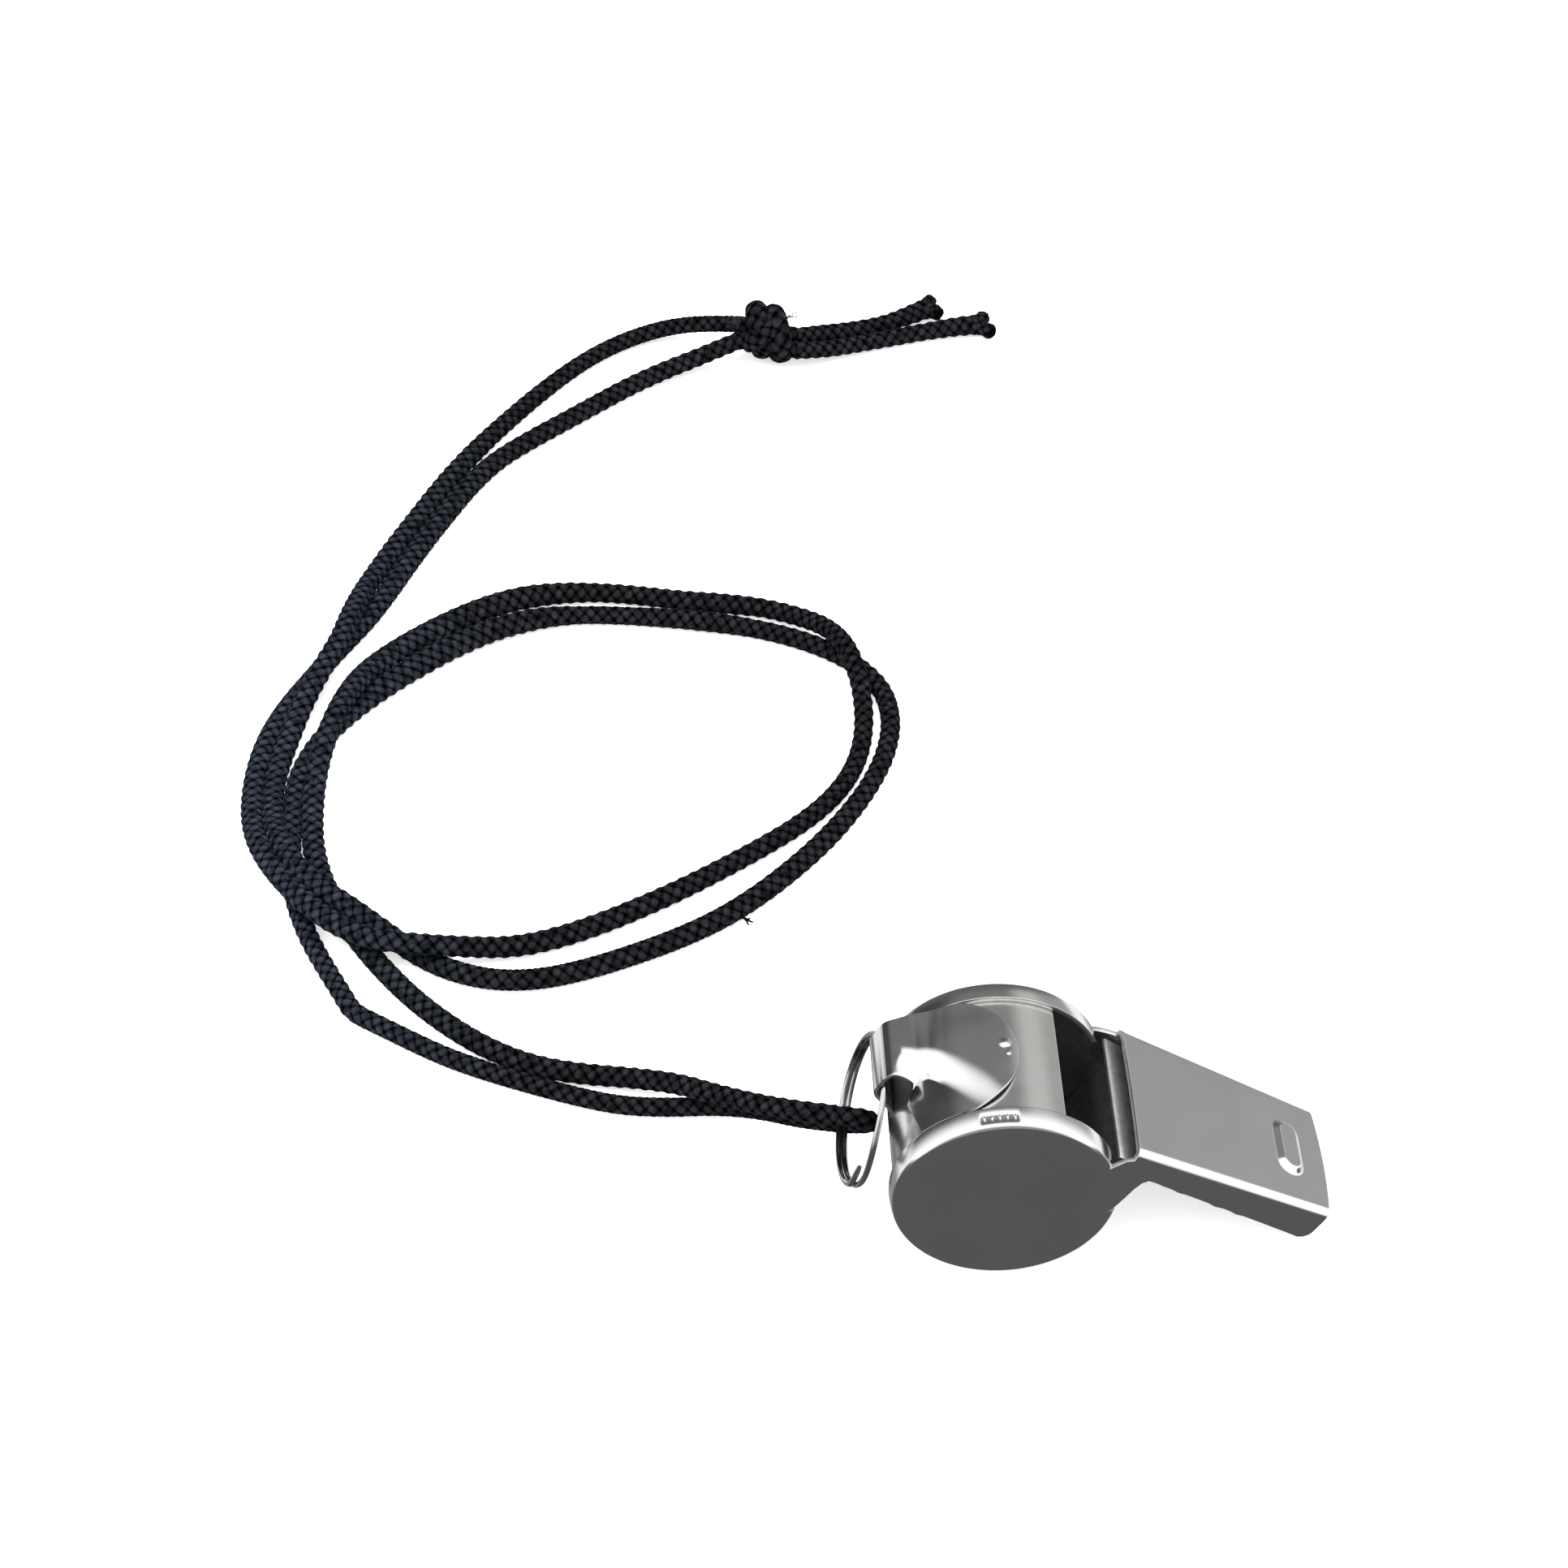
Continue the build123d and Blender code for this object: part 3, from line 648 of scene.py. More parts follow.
# ------------------------------------------------------------------ ball in the chamber
def ball_material():
    """Matt moulded plastic, near black."""
    mat, nt, bsdf = new_material("ball_plastic")
    grain = nt.nodes.new("ShaderNodeTexNoise")
    grain.inputs["Scale"].default_value = 900.0
    grain.inputs["Detail"].default_value = 4.0
    nt.links.new(object_coords(nt, (1, 1, 1)), grain.inputs["Vector"])
    ramp = nt.nodes.new("ShaderNodeValToRGB")
    ramp.color_ramp.elements[0].position = 0.35
    ramp.color_ramp.elements[0].color = (0.024, 0.024, 0.027, 1)
    ramp.color_ramp.elements[1].position = 0.65
    ramp.color_ramp.elements[1].color = (0.034, 0.034, 0.037, 1)
    nt.links.new(grain.outputs["Fac"], ramp.inputs["Fac"])
    nt.links.new(ramp.outputs["Color"], bsdf.inputs["Base Color"])
    bsdf.inputs["Roughness"].default_value = 0.6
    bp = nt.nodes.new("ShaderNodeBump")
    bp.inputs["Strength"].default_value = 0.15
    bp.inputs["Distance"].default_value = 0.00004
    nt.links.new(grain.outputs["Fac"], bp.inputs["Height"])
    nt.links.new(bp.outputs["Normal"], bsdf.inputs["Normal"])
    return mat


BALL = ball_material()


def pea_mesh():
    from mathutils import noise
    bm = bmesh.new()
    bmesh.ops.create_icosphere(bm, subdivisions=5, radius=4.55 * MM)
    for v in bm.verts:
        n = v.co.normalized()
        seam = 0.03 * math.exp(-(n.z / 0.02) ** 2)
        v.co = n * (4.55 + seam + 0.008 * noise.noise(n * 14.0)) * MM + Vector((BX * MM, BY * MM, (11.0 - 5.3) * MM))
    me = bpy.data.meshes.new("pea_ball")
    bm.to_mesh(me)
    bm.free()
    ob = bpy.data.objects.new("pea_ball", me)
    bpy.context.scene.collection.objects.link(ob)
    me.materials.append(BALL)
    me.polygons.foreach_set("use_smooth", [True] * len(me.polygons))
    return ob


pea = pea_mesh()
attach(pea, "pea")
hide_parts("pea")

# ------------------------------------------------------------------ cord
# the routes of the CAD solids, millimetres
STRAND_A = [
    (-28.45, 139.67, 3.50), (-33.18, 141.55, 2.61), (-38.16, 142.27, 1.61),
    (-43.07, 140.83, 1.07), (-47.32, 137.84, 1.05), (-51.03, 134.13, 1.05),
    (-54.43, 130.08, 1.05), (-57.66, 125.86, 1.05), (-60.76, 121.51, 1.05),
    (-63.59, 116.96, 1.05), (-66.13, 112.27, 1.05), (-68.50, 107.50, 1.05),
    (-70.87, 102.78, 1.05), (-72.95, 97.99, 1.18), (-74.45, 93.14, 2.13),
    (-75.46, 88.28, 3.25), (-76.50, 83.40, 3.54), (-78.50, 78.93, 3.16), (-80.46, 74.65, 2.00),
    (-81.82, 70.14, 1.12), (-82.81, 65.52, 1.05), (-83.19, 60.87, 1.19), (-82.90, 56.32, 2.03),
    (-81.87, 51.95, 3.06), (-80.01, 47.79, 3.58), (-77.34, 44.05, 3.67), (-73.77, 41.16, 3.30),
    (-70.14, 38.58, 1.93), (-66.60, 35.61, 1.05), (-62.68, 32.89, 1.05), (-58.12, 31.29, 1.05),
    (-53.23, 31.19, 1.05), (-48.39, 32.35, 1.05), (-43.63, 34.08, 1.05), (-38.92, 36.10, 1.05),
    (-34.39, 38.62, 1.05), (-30.25, 41.82, 1.05), (-26.44, 45.48, 1.05), (-22.90, 49.43, 1.05),
    (-19.76, 53.73, 1.05), (-17.06, 58.33, 1.05), (-15.06, 63.28, 1.05), (-14.15, 68.53, 1.05),
    (-14.91, 73.79, 1.05), (-17.81, 78.24, 1.05), (-21.98, 81.61, 1.05), (-26.73, 84.12, 1.05),
    (-31.83, 85.90, 1.05), (-37.11, 87.20, 1.05), (-42.50, 88.04, 1.05), (-47.93, 88.75, 1.05),
    (-53.41, 88.73, 1.05), (-58.69, 87.25, 1.05), (-63.49, 84.56, 1.05), (-67.91, 81.25, 1.05),
    (-72.05, 77.61, 1.05), (-75.71, 73.49, 1.05), (-78.67, 68.86, 1.05), (-80.50, 63.69, 1.05),
    (-80.91, 58.22, 1.05), (-80.79, 52.74, 1.05), (-80.42, 47.29, 1.05), (-79.24, 41.97, 1.05),
    (-77.38, 36.89, 1.05), (-75.19, 31.97, 1.05), (-72.36, 27.46, 1.05), (-68.33, 24.05, 1.05),
    (-63.88, 21.28, 1.05), (-59.31, 18.81, 1.05), (-54.66, 16.66, 1.05), (-49.99, 14.68, 1.05),
    (-45.27, 13.05, 1.05), (-40.35, 12.48, 1.05), (-35.48, 12.26, 1.24), (-31.17, 10.41, 2.43),
    (-27.23, 7.95, 3.58), (-24.07, 7.51, 3.30),
]
STRAND_B = [
    (-28.65, 137.21, 3.00), (-33.45, 135.62, 2.03), (-38.28, 134.00, 1.26),
    (-42.73, 131.38, 1.05), (-46.81, 128.16, 1.05), (-50.90, 124.87, 1.05),
    (-55.05, 121.61, 1.05), (-59.01, 118.07, 1.05), (-62.16, 113.75, 1.05),
    (-64.69, 109.00, 1.05), (-67.14, 104.17, 1.05), (-69.44, 99.25, 1.05),
    (-71.61, 94.27, 1.05), (-73.97, 89.40, 1.05), (-76.87, 84.84, 1.05), (-79.57, 80.21, 1.05),
    (-82.17, 75.57, 1.05), (-84.14, 70.70, 1.05), (-85.17, 65.59, 1.05), (-85.42, 60.45, 1.22),
    (-84.97, 55.43, 2.01), (-83.72, 50.63, 3.01), (-81.55, 46.14, 3.46), (-78.65, 42.07, 3.50),
    (-75.27, 38.41, 3.50), (-71.13, 35.68, 3.63), (-66.27, 34.74, 3.59), (-61.45, 35.26, 2.27),
    (-56.54, 35.87, 1.16), (-51.60, 37.06, 1.05), (-46.87, 38.97, 1.05), (-42.29, 41.25, 1.05),
    (-37.82, 43.75, 1.05), (-33.51, 46.48, 1.05), (-29.31, 49.32, 1.05), (-25.29, 52.36, 1.05),
    (-21.76, 55.88, 1.05), (-19.15, 60.06, 1.05), (-17.66, 64.71, 1.14), (-17.20, 69.45, 2.01),
    (-17.62, 74.08, 3.22), (-18.74, 78.71, 3.54), (-20.70, 82.93, 2.57), (-23.80, 86.33, 1.36),
    (-27.99, 88.58, 1.05), (-32.67, 89.60, 1.05), (-37.41, 90.47, 1.05), (-42.10, 91.68, 1.05),
    (-46.87, 92.60, 1.05), (-51.75, 92.85, 1.05), (-56.58, 92.19, 1.05), (-61.10, 90.31, 1.05),
    (-65.31, 87.77, 1.05), (-69.22, 84.78, 1.08), (-72.46, 81.12, 1.71), (-74.61, 76.82, 2.90),
    (-76.13, 72.11, 3.52), (-77.59, 67.36, 2.92), (-78.51, 62.55, 1.65), (-78.70, 57.47, 1.05),
    (-78.34, 52.32, 1.05), (-77.10, 47.26, 1.05), (-75.08, 42.41, 1.05), (-72.60, 37.73, 1.05),
    (-69.75, 33.23, 1.05), (-66.52, 28.97, 1.05), (-62.86, 25.09, 1.05), (-58.79, 21.65, 1.05),
    (-54.18, 19.02, 1.05), (-49.10, 17.58, 1.05), (-43.97, 16.49, 1.35), (-39.41, 14.31, 2.62),
    (-35.46, 11.25, 4.06), (-31.43, 8.39, 5.55), (-27.21, 5.96, 6.93), (-24.05, 5.51, 6.65),
]
BIGHT = [
    (-23.82, 7.47, 3.28), (-22.24, 7.25, 3.14), (-21.11, 6.51, 4.02), (-21.10, 5.68, 5.40),
    (-22.22, 5.26, 6.49), (-23.81, 5.48, 6.63),
]
TAIL_A = [
    (-21.85, 136.93, 3.30), (-19.05, 138.36, 2.50), (-16.25, 139.49, 1.80),
    (-13.44, 140.47, 1.35), (-10.62, 141.51, 1.10), (-7.97, 142.73, 1.05),
    (-5.61, 144.08, 1.05), (-3.91, 144.89, 1.05),
]
TAIL_B = [
    (-21.96, 134.69, 2.80), (-18.99, 135.67, 2.00), (-15.89, 136.83, 1.45),
    (-12.78, 137.90, 1.15), (-9.57, 138.71, 1.05), (-6.24, 139.46, 1.05),
    (-2.92, 140.13, 1.05), (-0.23, 140.52, 1.05), (1.93, 140.60, 1.05),
]
CORD_D = 2.1


def cord_material():
    """Black braid, matt: blue-black yarns, with a painted highlight on the crowns, painted shade in the gaps, and
    painted light, brighter and bluer, toward the left.
    """
    mat, nt, bsdf = new_material("cord_braid")
    h = nt.nodes.new("ShaderNodeAttribute")
    h.attribute_name = "crown"
    vec = object_coords(nt, (1, 1, 1))
    fib = nt.nodes.new("ShaderNodeTexNoise")
    fib.inputs["Scale"].default_value = 5200.0
    fib.inputs["Detail"].default_value = 3.0
    nt.links.new(vec, fib.inputs["Vector"])
    # painted shade and highlight: the braid's height darkens the gaps and lightens the crowns
    ramp = nt.nodes.new("ShaderNodeValToRGB")
    ramp.color_ramp.elements[0].position = 0.22
    ramp.color_ramp.elements[0].color = (0.0002, 0.0002, 0.0002, 1)
    ramp.color_ramp.elements[1].position = 0.80
    ramp.color_ramp.elements[1].color = (0.0112, 0.0113, 0.0121, 1)
    nt.links.new(h.outputs["Fac"], ramp.inputs["Fac"])
    # painted light: the cord is painted brighter and bluer toward the left, neutral black on the right
    sep = nt.nodes.new("ShaderNodeSeparateXYZ")
    nt.links.new(vec, sep.inputs[0])
    across = nt.nodes.new("ShaderNodeMapRange")
    across.inputs["From Min"].default_value = -0.081
    across.inputs["From Max"].default_value = -0.055
    nt.links.new(sep.outputs["X"], across.inputs["Value"])
    painted_left_light = nt.nodes.new("ShaderNodeValToRGB")
    painted_left_light.color_ramp.elements[0].color = (1.70, 2.0, 2.6, 1)
    painted_left_light.color_ramp.elements[1].color = (1.06, 1.10, 1.22, 1)
    nt.links.new(across.outputs["Result"], painted_left_light.inputs["Fac"])
    hue = nt.nodes.new("ShaderNodeMix")
    hue.data_type = "RGBA"
    hue.blend_type = "MULTIPLY"
    hue.inputs["Factor"].default_value = 1.0
    nt.links.new(ramp.outputs["Color"], hue.inputs["A"])
    nt.links.new(painted_left_light.outputs["Color"], hue.inputs["B"])
    # yarns that catch more or less light
    worn = nt.nodes.new("ShaderNodeTexNoise")
    worn.inputs["Scale"].default_value = 1100.0
    worn.inputs["Detail"].default_value = 2.0
    nt.links.new(vec, worn.inputs["Vector"])
    wear = nt.nodes.new("ShaderNodeMapRange")
    wear.inputs["From Min"].default_value = 0.3
    wear.inputs["From Max"].default_value = 0.7
    wear.inputs["To Min"].default_value = 0.35
    wear.inputs["To Max"].default_value = 1.75
    nt.links.new(worn.outputs["Fac"], wear.inputs["Value"])
    tint = nt.nodes.new("ShaderNodeMix")
    tint.data_type = "RGBA"
    tint.blend_type = "MULTIPLY"
    tint.inputs["Factor"].default_value = 1.0
    nt.links.new(hue.outputs["Result"], tint.inputs["A"])
    nt.links.new(wear.outputs["Result"], tint.inputs["B"])
    nt.links.new(tint.outputs["Result"], bsdf.inputs["Base Color"])
    rr = nt.nodes.new("ShaderNodeMapRange")
    rr.inputs["From Min"].default_value = 0.3
    rr.inputs["From Max"].default_value = 0.7
    rr.inputs["To Min"].default_value = 0.55
    rr.inputs["To Max"].default_value = 0.8
    nt.links.new(fib.outputs["Fac"], rr.inputs["Value"])
    nt.links.new(rr.outputs["Result"], bsdf.inputs["Roughness"])
    bsdf.inputs["Specular IOR Level"].default_value = 0.0
    bp = nt.nodes.new("ShaderNodeBump")
    bp.inputs["Strength"].default_value = 0.35
    bp.inputs["Distance"].default_value = 0.00003
    nt.links.new(fib.outputs["Fac"], bp.inputs["Height"])
    nt.links.new(bp.outputs["Normal"], bsdf.inputs["Normal"])
    return mat


CORD = cord_material()


def spline_points(name, route):
    """Points along the route's smooth line: a NURBS spline with the route as its control points."""
    cu = bpy.data.curves.new(name, "CURVE")
    cu.dimensions = "3D"
    cu.resolution_u = 10
    sp = cu.splines.new("NURBS")
    sp.points.add(len(route) - 1)
    for p, q in zip(sp.points, route):
        p.co = (q[0] * MM, q[1] * MM, q[2] * MM, 1.0)
    sp.order_u = 3
    sp.use_endpoint_u = True
    ob = bpy.data.objects.new(name, cu)
    bpy.context.scene.collection.objects.link(ob)
    dg = bpy.context.evaluated_depsgraph_get()
    dg.update()
    me = bpy.data.meshes.new_from_object(ob.evaluated_get(dg))
    pts = np.array([v.co[:] for v in me.vertices])
    bpy.data.meshes.remove(me)
    bpy.data.objects.remove(ob)
    bpy.data.curves.remove(cu)
    return pts


def along(pts, step):
    """The same line, at even steps."""
    seg = np.linalg.norm(np.diff(pts, axis=0), axis=1)
    keep = np.concatenate([[True], seg > 1e-9])
    pts = pts[keep]
    s = np.concatenate([[0], np.cumsum(np.linalg.norm(np.diff(pts, axis=0), axis=1))])
    n = max(int(round(s[-1] / step)), 4)
    t = np.linspace(0, s[-1], n + 1)
    return np.stack([np.interp(t, s, pts[:, k]) for k in range(3)], 1), t


def frames(p):
    t = np.gradient(p, axis=0)
    t /= np.linalg.norm(t, axis=1)[:, None]
    u = np.zeros_like(p)
    ref = np.array([0, 0, 1.0]) if abs(t[0, 2]) < 0.9 else np.array([0, 1.0, 0])
    v = ref - t[0] * ref.dot(t[0])
    u[0] = v / np.linalg.norm(v)
    for i in range(1, len(p)):
        v = u[i - 1] - t[i] * u[i - 1].dot(t[i])
        u[i] = v / np.linalg.norm(v)
    return t, u, np.cross(t, u)


BRAID_N = 4            # yarns each way round
BRAID_PITCH = 1.40     # millimetres along the cord for one crossing


def braid_height(theta, s_mm):
    """0 in the gaps and 1 on a yarn's crown, for yarns wound both ways and passing over and under."""
    p = BRAID_N * theta / (2 * math.pi) + s_mm / BRAID_PITCH
    q = BRAID_N * theta / (2 * math.pi) - s_mm / BRAID_PITCH
    a, b = p - np.floor(p), q - np.floor(q)
    over = (np.floor(p) + np.floor(q)) % 2 < 1
    across = np.where(over, a, b)
    length = np.where(over, b, a)
    crown = np.sin(np.pi * across) ** 0.7
    hump = 0.45 + 0.55 * np.sin(np.pi * length)
    return crown * hump


STEP = 0.13            # millimetres between the rings of a cord's mesh


def press(V, p, s, rivals):
    """Flattens a cord against the cords that touch it: no point passes half way to their middle line."""
    for q, sq in rivals:
        own = q is p
        for i0 in range(0, len(p), 400):
            d = np.linalg.norm(p[i0:i0 + 400, None] - q[None], axis=2)
            if own:
                d[np.abs(s[i0:i0 + 400, None] - sq[None]) < 7 * MM] = 1.0
            mid = d[:, 1:-1]
            low = (mid <= d[:, :-2]) & (mid < d[:, 2:]) & (mid < 2.8 * MM) & (mid > 1.4 * MM)
            for i, j in zip(*np.nonzero(low)):
                n = q[j + 1] - p[i0 + i]
                gap = np.linalg.norm(n)
                n = n / gap
                over = (V[i0 + i] - p[i0 + i]) @ n - gap / 2
                V[i0 + i] -= np.clip(over, 0, None)[:, None] * n


def braided_tube(name, line, n_round=30, radius=CORD_D / 2, relief=0.17, width=None, rivals=(), cap_ends=True):
    p, s = line
    t, u, w = frames(p)
    th = np.arange(n_round) * 2 * math.pi / n_round
    n = len(p)
    S, TH = np.meshgrid(s / MM, th, indexing="ij")
    h = braid_height(TH, S)
    R = (radius - relief * (1 - h)) * MM
    off = u[:, None, :] * np.cos(TH)[..., None] + w[:, None, :] * np.sin(TH)[..., None]
    if width is not None:
        # a limp cord flattens and pulls thin along its way: its width changes, its height doesn't
        side = np.cross(t, np.array([0, 0, 1.0]))
        flat = np.linalg.norm(side, axis=1)
        side /= np.maximum(flat, 1e-6)[:, None]
        grow = (np.interp(s / s[-1], [f for f, _ in width], [1.07 * v / CORD_D for _, v in width]) - 1) * np.clip(flat, 0, 1) ** 2
        comp = np.einsum("ijk,ik->ij", off, side) * grow[:, None]
        off = off + comp[..., None] * side[:, None, :]
    V = p[:, None, :] + off * R[..., None]
    press(V, p, s, rivals)
    verts = V.reshape(-1, 3)
    idx = np.arange(n * n_round).reshape(n, n_round)
    nxt = np.roll(idx, -1, axis=1)
    quads = np.stack([idx[:-1], nxt[:-1], nxt[1:], idx[1:]], -1).reshape(-1, 4)
    faces = [tuple(q) for q in quads.tolist()]
    # the braid's height, kept as the crown attribute, paints shade into the gaps and a highlight on the crowns
    crown = h.reshape(-1)
    if cap_ends:
        # rounded, melted-looking ends
        v_list, c_list = [verts], [crown]
        count = len(verts)
        for end, ring_i, sign in ((0, idx[0], -1), (n - 1, idx[-1], 1)):
            prev = ring_i
            for k, (rk, off) in enumerate(((0.8, 0.3), (0.45, 0.5))):
                base = p[end] + t[end] * sign * off * radius * MM
                ring_v = base + (verts[ring_i] - p[end]) * rk
                v_list.append(ring_v)
                c_list.append(np.full(n_round, 0.3))
                new = np.arange(count, count + n_round)
                count += n_round
                for j in range(n_round):
                    a, b = prev[j], prev[(j + 1) % n_round]
                    c, d = new[(j + 1) % n_round], new[j]
                    faces.append((a, b, c, d) if sign > 0 else (a, d, c, b))
                prev = new
            v_list.append((p[end] + t[end] * sign * 0.56 * radius * MM)[None])
            c_list.append(np.array([0.3]))
            for j in range(n_round):
                a, b = prev[j], prev[(j + 1) % n_round]
                faces.append((a, b, count) if sign > 0 else (b, a, count))
            count += 1
        verts = np.concatenate(v_list)
        crown = np.concatenate(c_list)
    me = bpy.data.meshes.new(name)
    me.from_pydata(verts.tolist(), [], [tuple(int(i) for i in f) for f in faces])
    at = me.attributes.new("crown", "FLOAT", "POINT")
    at.data.foreach_set("value", crown.astype(np.float32))
    me.polygons.foreach_set("use_smooth", [True] * len(me.polygons))
    ob = bpy.data.objects.new(name, me)
    bpy.context.scene.collection.objects.link(ob)
    me.materials.append(CORD)
    bm = bmesh.new()
    bm.from_mesh(me)
    bmesh.ops.recalc_face_normals(bm, faces=bm.faces)
    bm.to_mesh(me)
    bm.free()
    path = p[:: 10] if (n - 1) % 10 == 0 else np.concatenate([p[:: 10], p[-1:]])
    return ob, [tuple(q) for q in path.tolist()], s[-1]


# strand A starts on strand B's side of the ring, goes round the ring wire and runs to the knot
# the bight is pulled a little further through the ring than in the CAD solid
PULLED = [(x + dx, y, z) for (x, y, z), dx in zip(BIGHT, (0.0, 0.4, 0.8, 0.8, 0.4, 0.0))]
# the sharp kink at the lower left: these three points are moved 0.8, 1.9 and 3.2 mm
KINKED = STRAND_A[:64] + [(-74.21, 30.36, 1.05), (-73.05, 27.81, 1.05), (-70.74, 26.15, 1.05)] + STRAND_A[67:]
route_a = [STRAND_B[-1]] + list(reversed(PULLED)) + list(reversed(KINKED))
route_b = [BIGHT[-1]] + list(reversed(STRAND_B))
pts_a = spline_points("route_a", route_a)
pts_b = spline_points("route_b", route_b)
# width of each strand, millimetres, by how far along from the ring it is
WIDTH_A = [(0, 1.9), (0.10, 1.9), (0.12, 2.0), (0.18, 2.05), (0.22, 2.25), (0.27, 2.5), (0.28, 2.8), (0.295, 3.2), (0.31, 3.35), (0.325, 3.4), (0.343, 3.3),
           (0.352, 2.75), (0.36, 2.2), (0.375, 2.2), (0.385, 2.55), (0.395, 2.7), (0.402, 2.6), (0.41, 2.3), (0.425, 2.3), (0.45, 2.2), (0.50, 2.15), (0.522, 2.4), (0.56, 2.5), (0.615, 2.45),
           (0.64, 2.45), (0.735, 2.45), (0.76, 2.5), (0.778, 2.5), (0.795, 2.4), (0.84, 2.6), (0.875, 2.7), (0.89, 2.6), (0.90, 2.45),
           (0.925, 2.3), (0.945, 2.15), (1, 2.15)]
WIDTH_B = [(0, 2.2), (0.065, 2.25), (0.085, 2.35), (0.11, 2.35), (0.14, 2.35), (0.265, 2.5), (0.28, 3.0), (0.295, 3.3), (0.31, 3.4), (0.325, 3.45), (0.338, 3.35),
           (0.348, 2.95), (0.358, 2.5), (0.375, 2.5), (0.385, 2.6), (0.395, 2.75), (0.402, 2.65), (0.41, 2.4), (0.425, 2.4), (0.45, 2.2), (0.48, 2.1), (0.525, 2.2), (0.545, 2.3),
           (0.57, 2.45), (0.59, 2.55), (0.615, 2.55), (0.645, 2.45), (0.785, 2.45), (0.80, 2.4), (0.84, 2.6), (0.89, 2.75), (0.905, 2.6),
           (0.97, 2.55), (1, 2.4)]
WIDTH_TAIL = [(0, 2.3), (0.7, 2.35), (0.9, 2.9), (1, 3.2)]
line_a, line_b = along(pts_a, STEP * MM), along(pts_b, STEP * MM)
cord_a, path_a, len_a = braided_tube("cord_a", line_a, width=WIDTH_A, rivals=(line_a, line_b))
cord_b, path_b, len_b = braided_tube("cord_b", line_b, width=WIDTH_B, rivals=(line_a, line_b))


# ------------------------------------------------------------------ knot and tails
def turn_route(centre, lean, r, lift, start, sweep, n):
    """One turn of the knot: a ring round its leaning axis, shifted along it by the lift."""
    ax = Vector(lean).normalized()
    e1 = Vector((0, 0.69, 0.72))
    e1 = (e1 - ax * e1.dot(ax)).normalized()
    e2 = ax.cross(e1)
    out = []
    for k in range(n + 1):
        a = math.radians(start + sweep * k / n)
        out.append(tuple(Vector(centre) + (e1 * math.cos(a) + e2 * math.sin(a)) * r + ax * lift * (k / n - 0.5)))
    return out


def part_way(p, q, t):
    return tuple(lerp(a, b, t) for a, b in zip(p, q))


def fibre(name, route, r=0.045):
    """A stray filament."""
    ob = tube(name, spline_points(name, route), r * MM, CORD, n_round=6, taper=lambda t: 1.0 - 0.6 * t)
    # the filament takes a fixed middle point of the cord's painted crown shade
    at = ob.data.attributes.new("crown", "FLOAT", "POINT")
    at.data.foreach_set("value", [0.4] * len(ob.data.vertices))
    return ob


# a snagged spot on the loop's lower run
frays = [fibre(f"fray_{k}", [(-32.5, 39.4, 1.2), (-32.0, 38.8, 1.1), (-31.6, 38.4, 1.0), tip], 0.22)
         for k, tip in enumerate(((-31.4, 37.7, 0.9), (-30.9, 38.0, 1.0), (-31.2, 38.3, 1.3)))]
cord_a = join("cord_a", [cord_a] + frays)

KNOT = Vector((-25.1, 137.45, 3.85))
knot_lines = []
for centre, lean, start in (((-26.25, 137.95, 3.85), (0.990, 0.097, 0.101), 150), ((-24.12, 137.02, 3.85), (0.990, 0.127, 0.081), 170)):
    knot_lines.append((turn_route(centre, lean, 2.36, 0.3, start, 384, 13), 1.47))
for near, tail, mid in ((STRAND_A, TAIL_A, (-25.2, 138.4, 3.9)), (STRAND_B, TAIL_B, (-25.3, 136.0, 3.6))):
    knot_lines.append(([part_way(near[0], near[1], 0.3), near[0], mid, tail[0], part_way(tail[0], tail[1], 0.2)], 1.08))
# the run that crosses the front of both turns
cross = [(-2.6, -1.5, 0.6), (-1.8, -1.2, 2.4), (-0.2, -0.3, 3.0), (1.1, 0.6, 2.6), (1.3, 1.4, 1.1), (0.8, 1.7, -0.4)]
knot_lines.append(([tuple(KNOT + Vector((1, 0, 0)) * a + Vector((0, 0.69, 0.72)) * b + Vector((0, -0.72, 0.69)) * c) for a, b, c in cross], 1.15))
knot_parts = []
for i, (route, r) in enumerate(knot_lines):
    knot_parts.append(braided_tube(f"knot_{i}", along(spline_points("knot_route", route), STEP * MM), radius=r, relief=0.12)[0])
for k, (bend, tip) in enumerate((((-21.6, 139.3, 5.1), (-20.9, 139.9, 5.4)), ((-21.3, 138.9, 4.8), (-20.4, 139.1, 4.9)),
                                 ((-21.8, 139.7, 5.3), (-21.4, 140.6, 5.9)), ((-21.4, 138.5, 4.9), (-20.5, 138.3, 5.3)),
                                 ((-21.2, 139.2, 5.4), (-20.6, 139.6, 6.0)))):
    knot_parts.append(fibre(f"knot_fibre_{k}", [(-23.2, 138.2 + 0.1 * k, 4.9), (-22.3, 138.7, 5.0 + 0.1 * k), bend, tip], 0.055))
knot = join("cord_knot_braid", knot_parts)
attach(knot, "whistle")
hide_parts("cord_knot")

tail_lines = [along(spline_points("tail", pts3[:-1] + [part_way(pts3[-2], pts3[-1], 0.5)]), STEP * MM) for pts3 in (TAIL_A, TAIL_B)]
for nm, pts3, line, lobes in (("tail_a", TAIL_A, tail_lines[0], ((-4.5, 146.1), (-3.6, 143.3))),
                              ("tail_b", TAIL_B, tail_lines[1], ((2.1, 142.1), (2.8, 139.0)))):
    pieces = [braided_tube(f"cord_{nm}_braid", line, width=WIDTH_TAIL, rivals=tail_lines)[0]]
    # the end has spread into two blunt lobes
    end, before = Vector(pts3[-1]), Vector(pts3[-2])
    for k, (x, y) in enumerate(lobes):
        tip = Vector((x, y, 1.0))
        ps = spline_points("lobe", [tuple(before.lerp(end, 0.2)), tuple(before.lerp(end, 0.7).lerp(tip, 0.35)), tuple(tip)])
        pieces.append(braided_tube(f"lobe_{k}", along(ps, STEP * MM), radius=1.0)[0])
    ob = join(f"cord_{nm}_braid", pieces)
    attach(ob, "whistle")
    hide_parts(f"cord_{nm}")

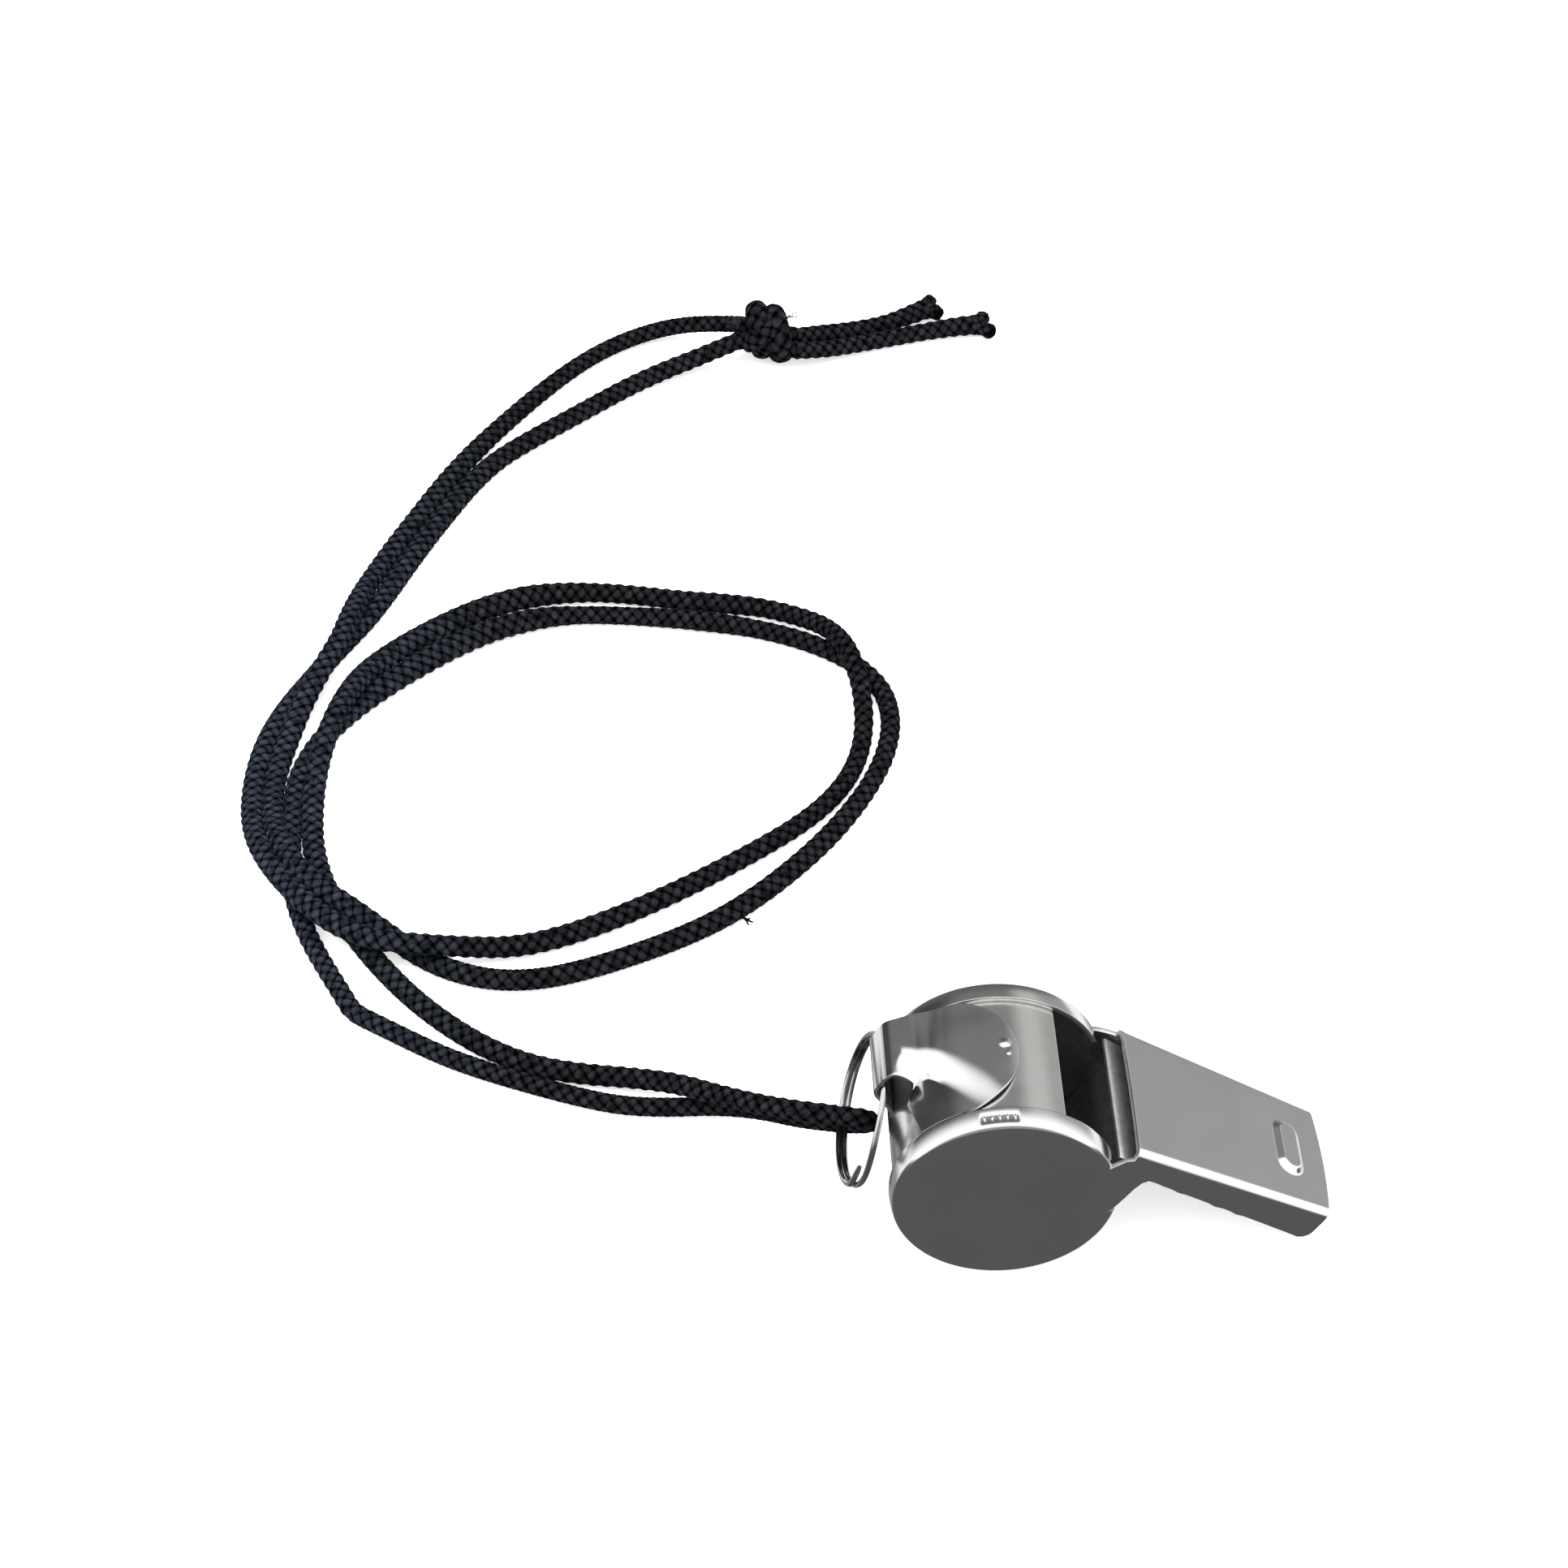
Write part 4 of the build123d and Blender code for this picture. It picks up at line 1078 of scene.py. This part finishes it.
for ob, path, ln, nodes in ((cord_a, path_a, len_a, ("cord_strand_a", "cord_bight")), (cord_b, path_b, len_b, ("cord_strand_b",))):
    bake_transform(ob)
    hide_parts(*nodes)

# ------------------------------------------------------------------ floor, light and camera
def stage():
    me = bpy.data.meshes.new("floor")
    s = 3.0
    me.from_pydata([(-s, -s, -0.00002), (s, -s, -0.00002), (s, s, -0.00002), (-s, s, -0.00002)], [], [(0, 1, 2, 3)])
    ob = bpy.data.objects.new("floor", me)
    bpy.context.scene.collection.objects.link(ob)
    mat, nt, bsdf = new_material("floor")
    bsdf.inputs["Base Color"].default_value = (0.86, 0.86, 0.86, 1)
    bsdf.inputs["Roughness"].default_value = 0.9
    bsdf.inputs["Specular IOR Level"].default_value = 0.0
    bsdf.inputs["Emission Color"].default_value = (1, 1, 1, 1)
    bsdf.inputs["Emission Strength"].default_value = 0.55
    me.materials.append(mat)
    ob.visible_glossy = False


stage()


def world_light():
    """A soft tent: dark below in front, a pale table behind, a bright front overhead panel, and graded grey panels."""
    w = bpy.data.worlds.new("tent")
    bpy.context.scene.world = w
    w.use_nodes = True
    nt = w.node_tree
    nt.nodes.clear()
    out = nt.nodes.new("ShaderNodeOutputWorld")
    bg = nt.nodes.new("ShaderNodeBackground")
    nt.links.new(bg.outputs[0], out.inputs[0])
    co = nt.nodes.new("ShaderNodeTexCoord")
    sep = nt.nodes.new("ShaderNodeSeparateXYZ")
    nt.links.new(co.outputs["Generated"], sep.inputs[0])

    def math_node(op, a, b=None, c=None):
        n = nt.nodes.new("ShaderNodeMath")
        n.operation = op
        for i, v in enumerate((a, b, c)):
            if v is None:
                continue
            if isinstance(v, (int, float)):
                n.inputs[i].default_value = v
            else:
                nt.links.new(v, n.inputs[i])
        return n.outputs[0]

    def step(v, lo, hi, smooth=True):
        n = nt.nodes.new("ShaderNodeMapRange")
        n.interpolation_type = "SMOOTHSTEP" if smooth else "LINEAR"
        nt.links.new(v, n.inputs["Value"])
        n.inputs["From Min"].default_value = lo
        n.inputs["From Max"].default_value = hi
        n.inputs["To Min"].default_value = 0.0
        n.inputs["To Max"].default_value = 1.0
        return n.outputs["Result"]

    def mix(f, a, b):
        # a + (b - a) * f
        return math_node("MULTIPLY_ADD", math_node("SUBTRACT", b, a), f, a)

    X, Y, Z = sep.outputs
    # half the angle round the whistle's axis, and the angle from that axis, in degrees
    alpha = math_node("MULTIPLY", math_node("ARCTAN2", X, Z), 90.0 / math.pi)
    beta = math_node("MULTIPLY", math_node("ARCCOSINE", Y), 180.0 / math.pi)
    back = nt.nodes.new("ShaderNodeFloatCurve")
    lo_s, hi_s = -60.0, 60.0
    t = math_node("DIVIDE", math_node("SUBTRACT", alpha, lo_s), hi_s - lo_s)
    cm = back.mapping
    cur = cm.curves[0]
    pts = [((a - lo_s) / (hi_s - lo_s), v) for a, v in BACK]
    while len(cur.points) < len(pts):
        cur.points.new(0.5, 0.5)
    for p, (x, y) in zip(cur.points, pts):
        p.location = (x, y)
        p.handle_type = "VECTOR"
    cm.update()
    nt.links.new(t, back.inputs["Value"])
    level = math_node("MULTIPLY", back.outputs[0], 2.0)
    level = mix(step(beta, 52.0, 67.0), level, mix(step(beta, 122.0, 150.0), FRONT, FRONT_OUT))
    level = mix(step(beta, 39.0, 33.0), level, FAR)
    rear = step(Y, 0.0, 0.4)
    below = mix(rear, BELOW, mix(step(Z, -0.38, -0.55), BELOW_BACK[0], BELOW_BACK[1]))
    level = mix(mix(rear, step(Z, 0.02, -0.10), step(Z, -0.08, -0.18)), level, below)
    nt.links.new(level, bg.inputs["Strength"])
    bg.inputs["Color"].default_value = (1.0, 0.995, 0.985, 1)


FRONT, FRONT_OUT, FAR, BELOW = 1.7, 0.4, 0.16, 0.13
BELOW_BACK = (1.35, 0.35)
# grey level of the back panels against the angle round the whistle's axis, halved
BACK = [(-60, 0.03), (-26, 0.03), (-18, 0.10), (-12, 0.12), (11, 0.12), (18, 0.34), (26, 0.34), (31, 0.22), (60, 0.22)]
world_light()


def area(name, loc, aim, size, power):
    la = bpy.data.lights.new(name, "AREA")
    la.energy = power
    la.size = size
    ob = bpy.data.objects.new(name, la)
    ob.location = loc
    d = Vector(aim) - Vector(loc)
    ob.rotation_euler = d.to_track_quat("-Z", "Y").to_euler()
    ob.visible_glossy = False
    bpy.context.scene.collection.objects.link(ob)


area("overhead", (-0.02, 0.02, 0.9), (-0.02, 0.05, 0), 0.9, 9.0)
area("left", (-0.7, -0.1, 0.7), (-0.03, 0.05, 0), 0.6, 2.0)
area("front", (0.2, -0.8, 0.6), (-0.02, 0.05, 0), 0.6, 2.0)


def camera():
    yaw, pitch, roll = math.radians(1.066), math.radians(43.914), math.radians(-2.042)
    fwd = Vector((math.sin(yaw) * math.cos(pitch), math.cos(yaw) * math.cos(pitch), -math.sin(pitch)))
    right = Vector((math.cos(yaw), -math.sin(yaw), 0))
    up = right.cross(fwd)
    r2 = right * math.cos(roll) + up * math.sin(roll)
    u2 = up * math.cos(roll) - right * math.sin(roll)
    cam = bpy.data.cameras.new("camera")
    cam.sensor_width = 36.0
    cam.sensor_fit = "HORIZONTAL"
    cam.lens = 4619.04 / 1932 * 36.0
    cam.clip_start = 0.01
    ob = bpy.data.objects.new("camera", cam)
    m = Matrix(((r2.x, u2.x, -fwd.x, -0.032256), (r2.y, u2.y, -fwd.y, -0.238880), (r2.z, u2.z, -fwd.z, 0.287786), (0, 0, 0, 1)))
    ob.matrix_world = m
    bpy.context.scene.collection.objects.link(ob)
    bpy.context.scene.camera = ob


camera()
vs = bpy.context.scene.view_settings
vs.view_transform = "Standard"
vs.look = "None"
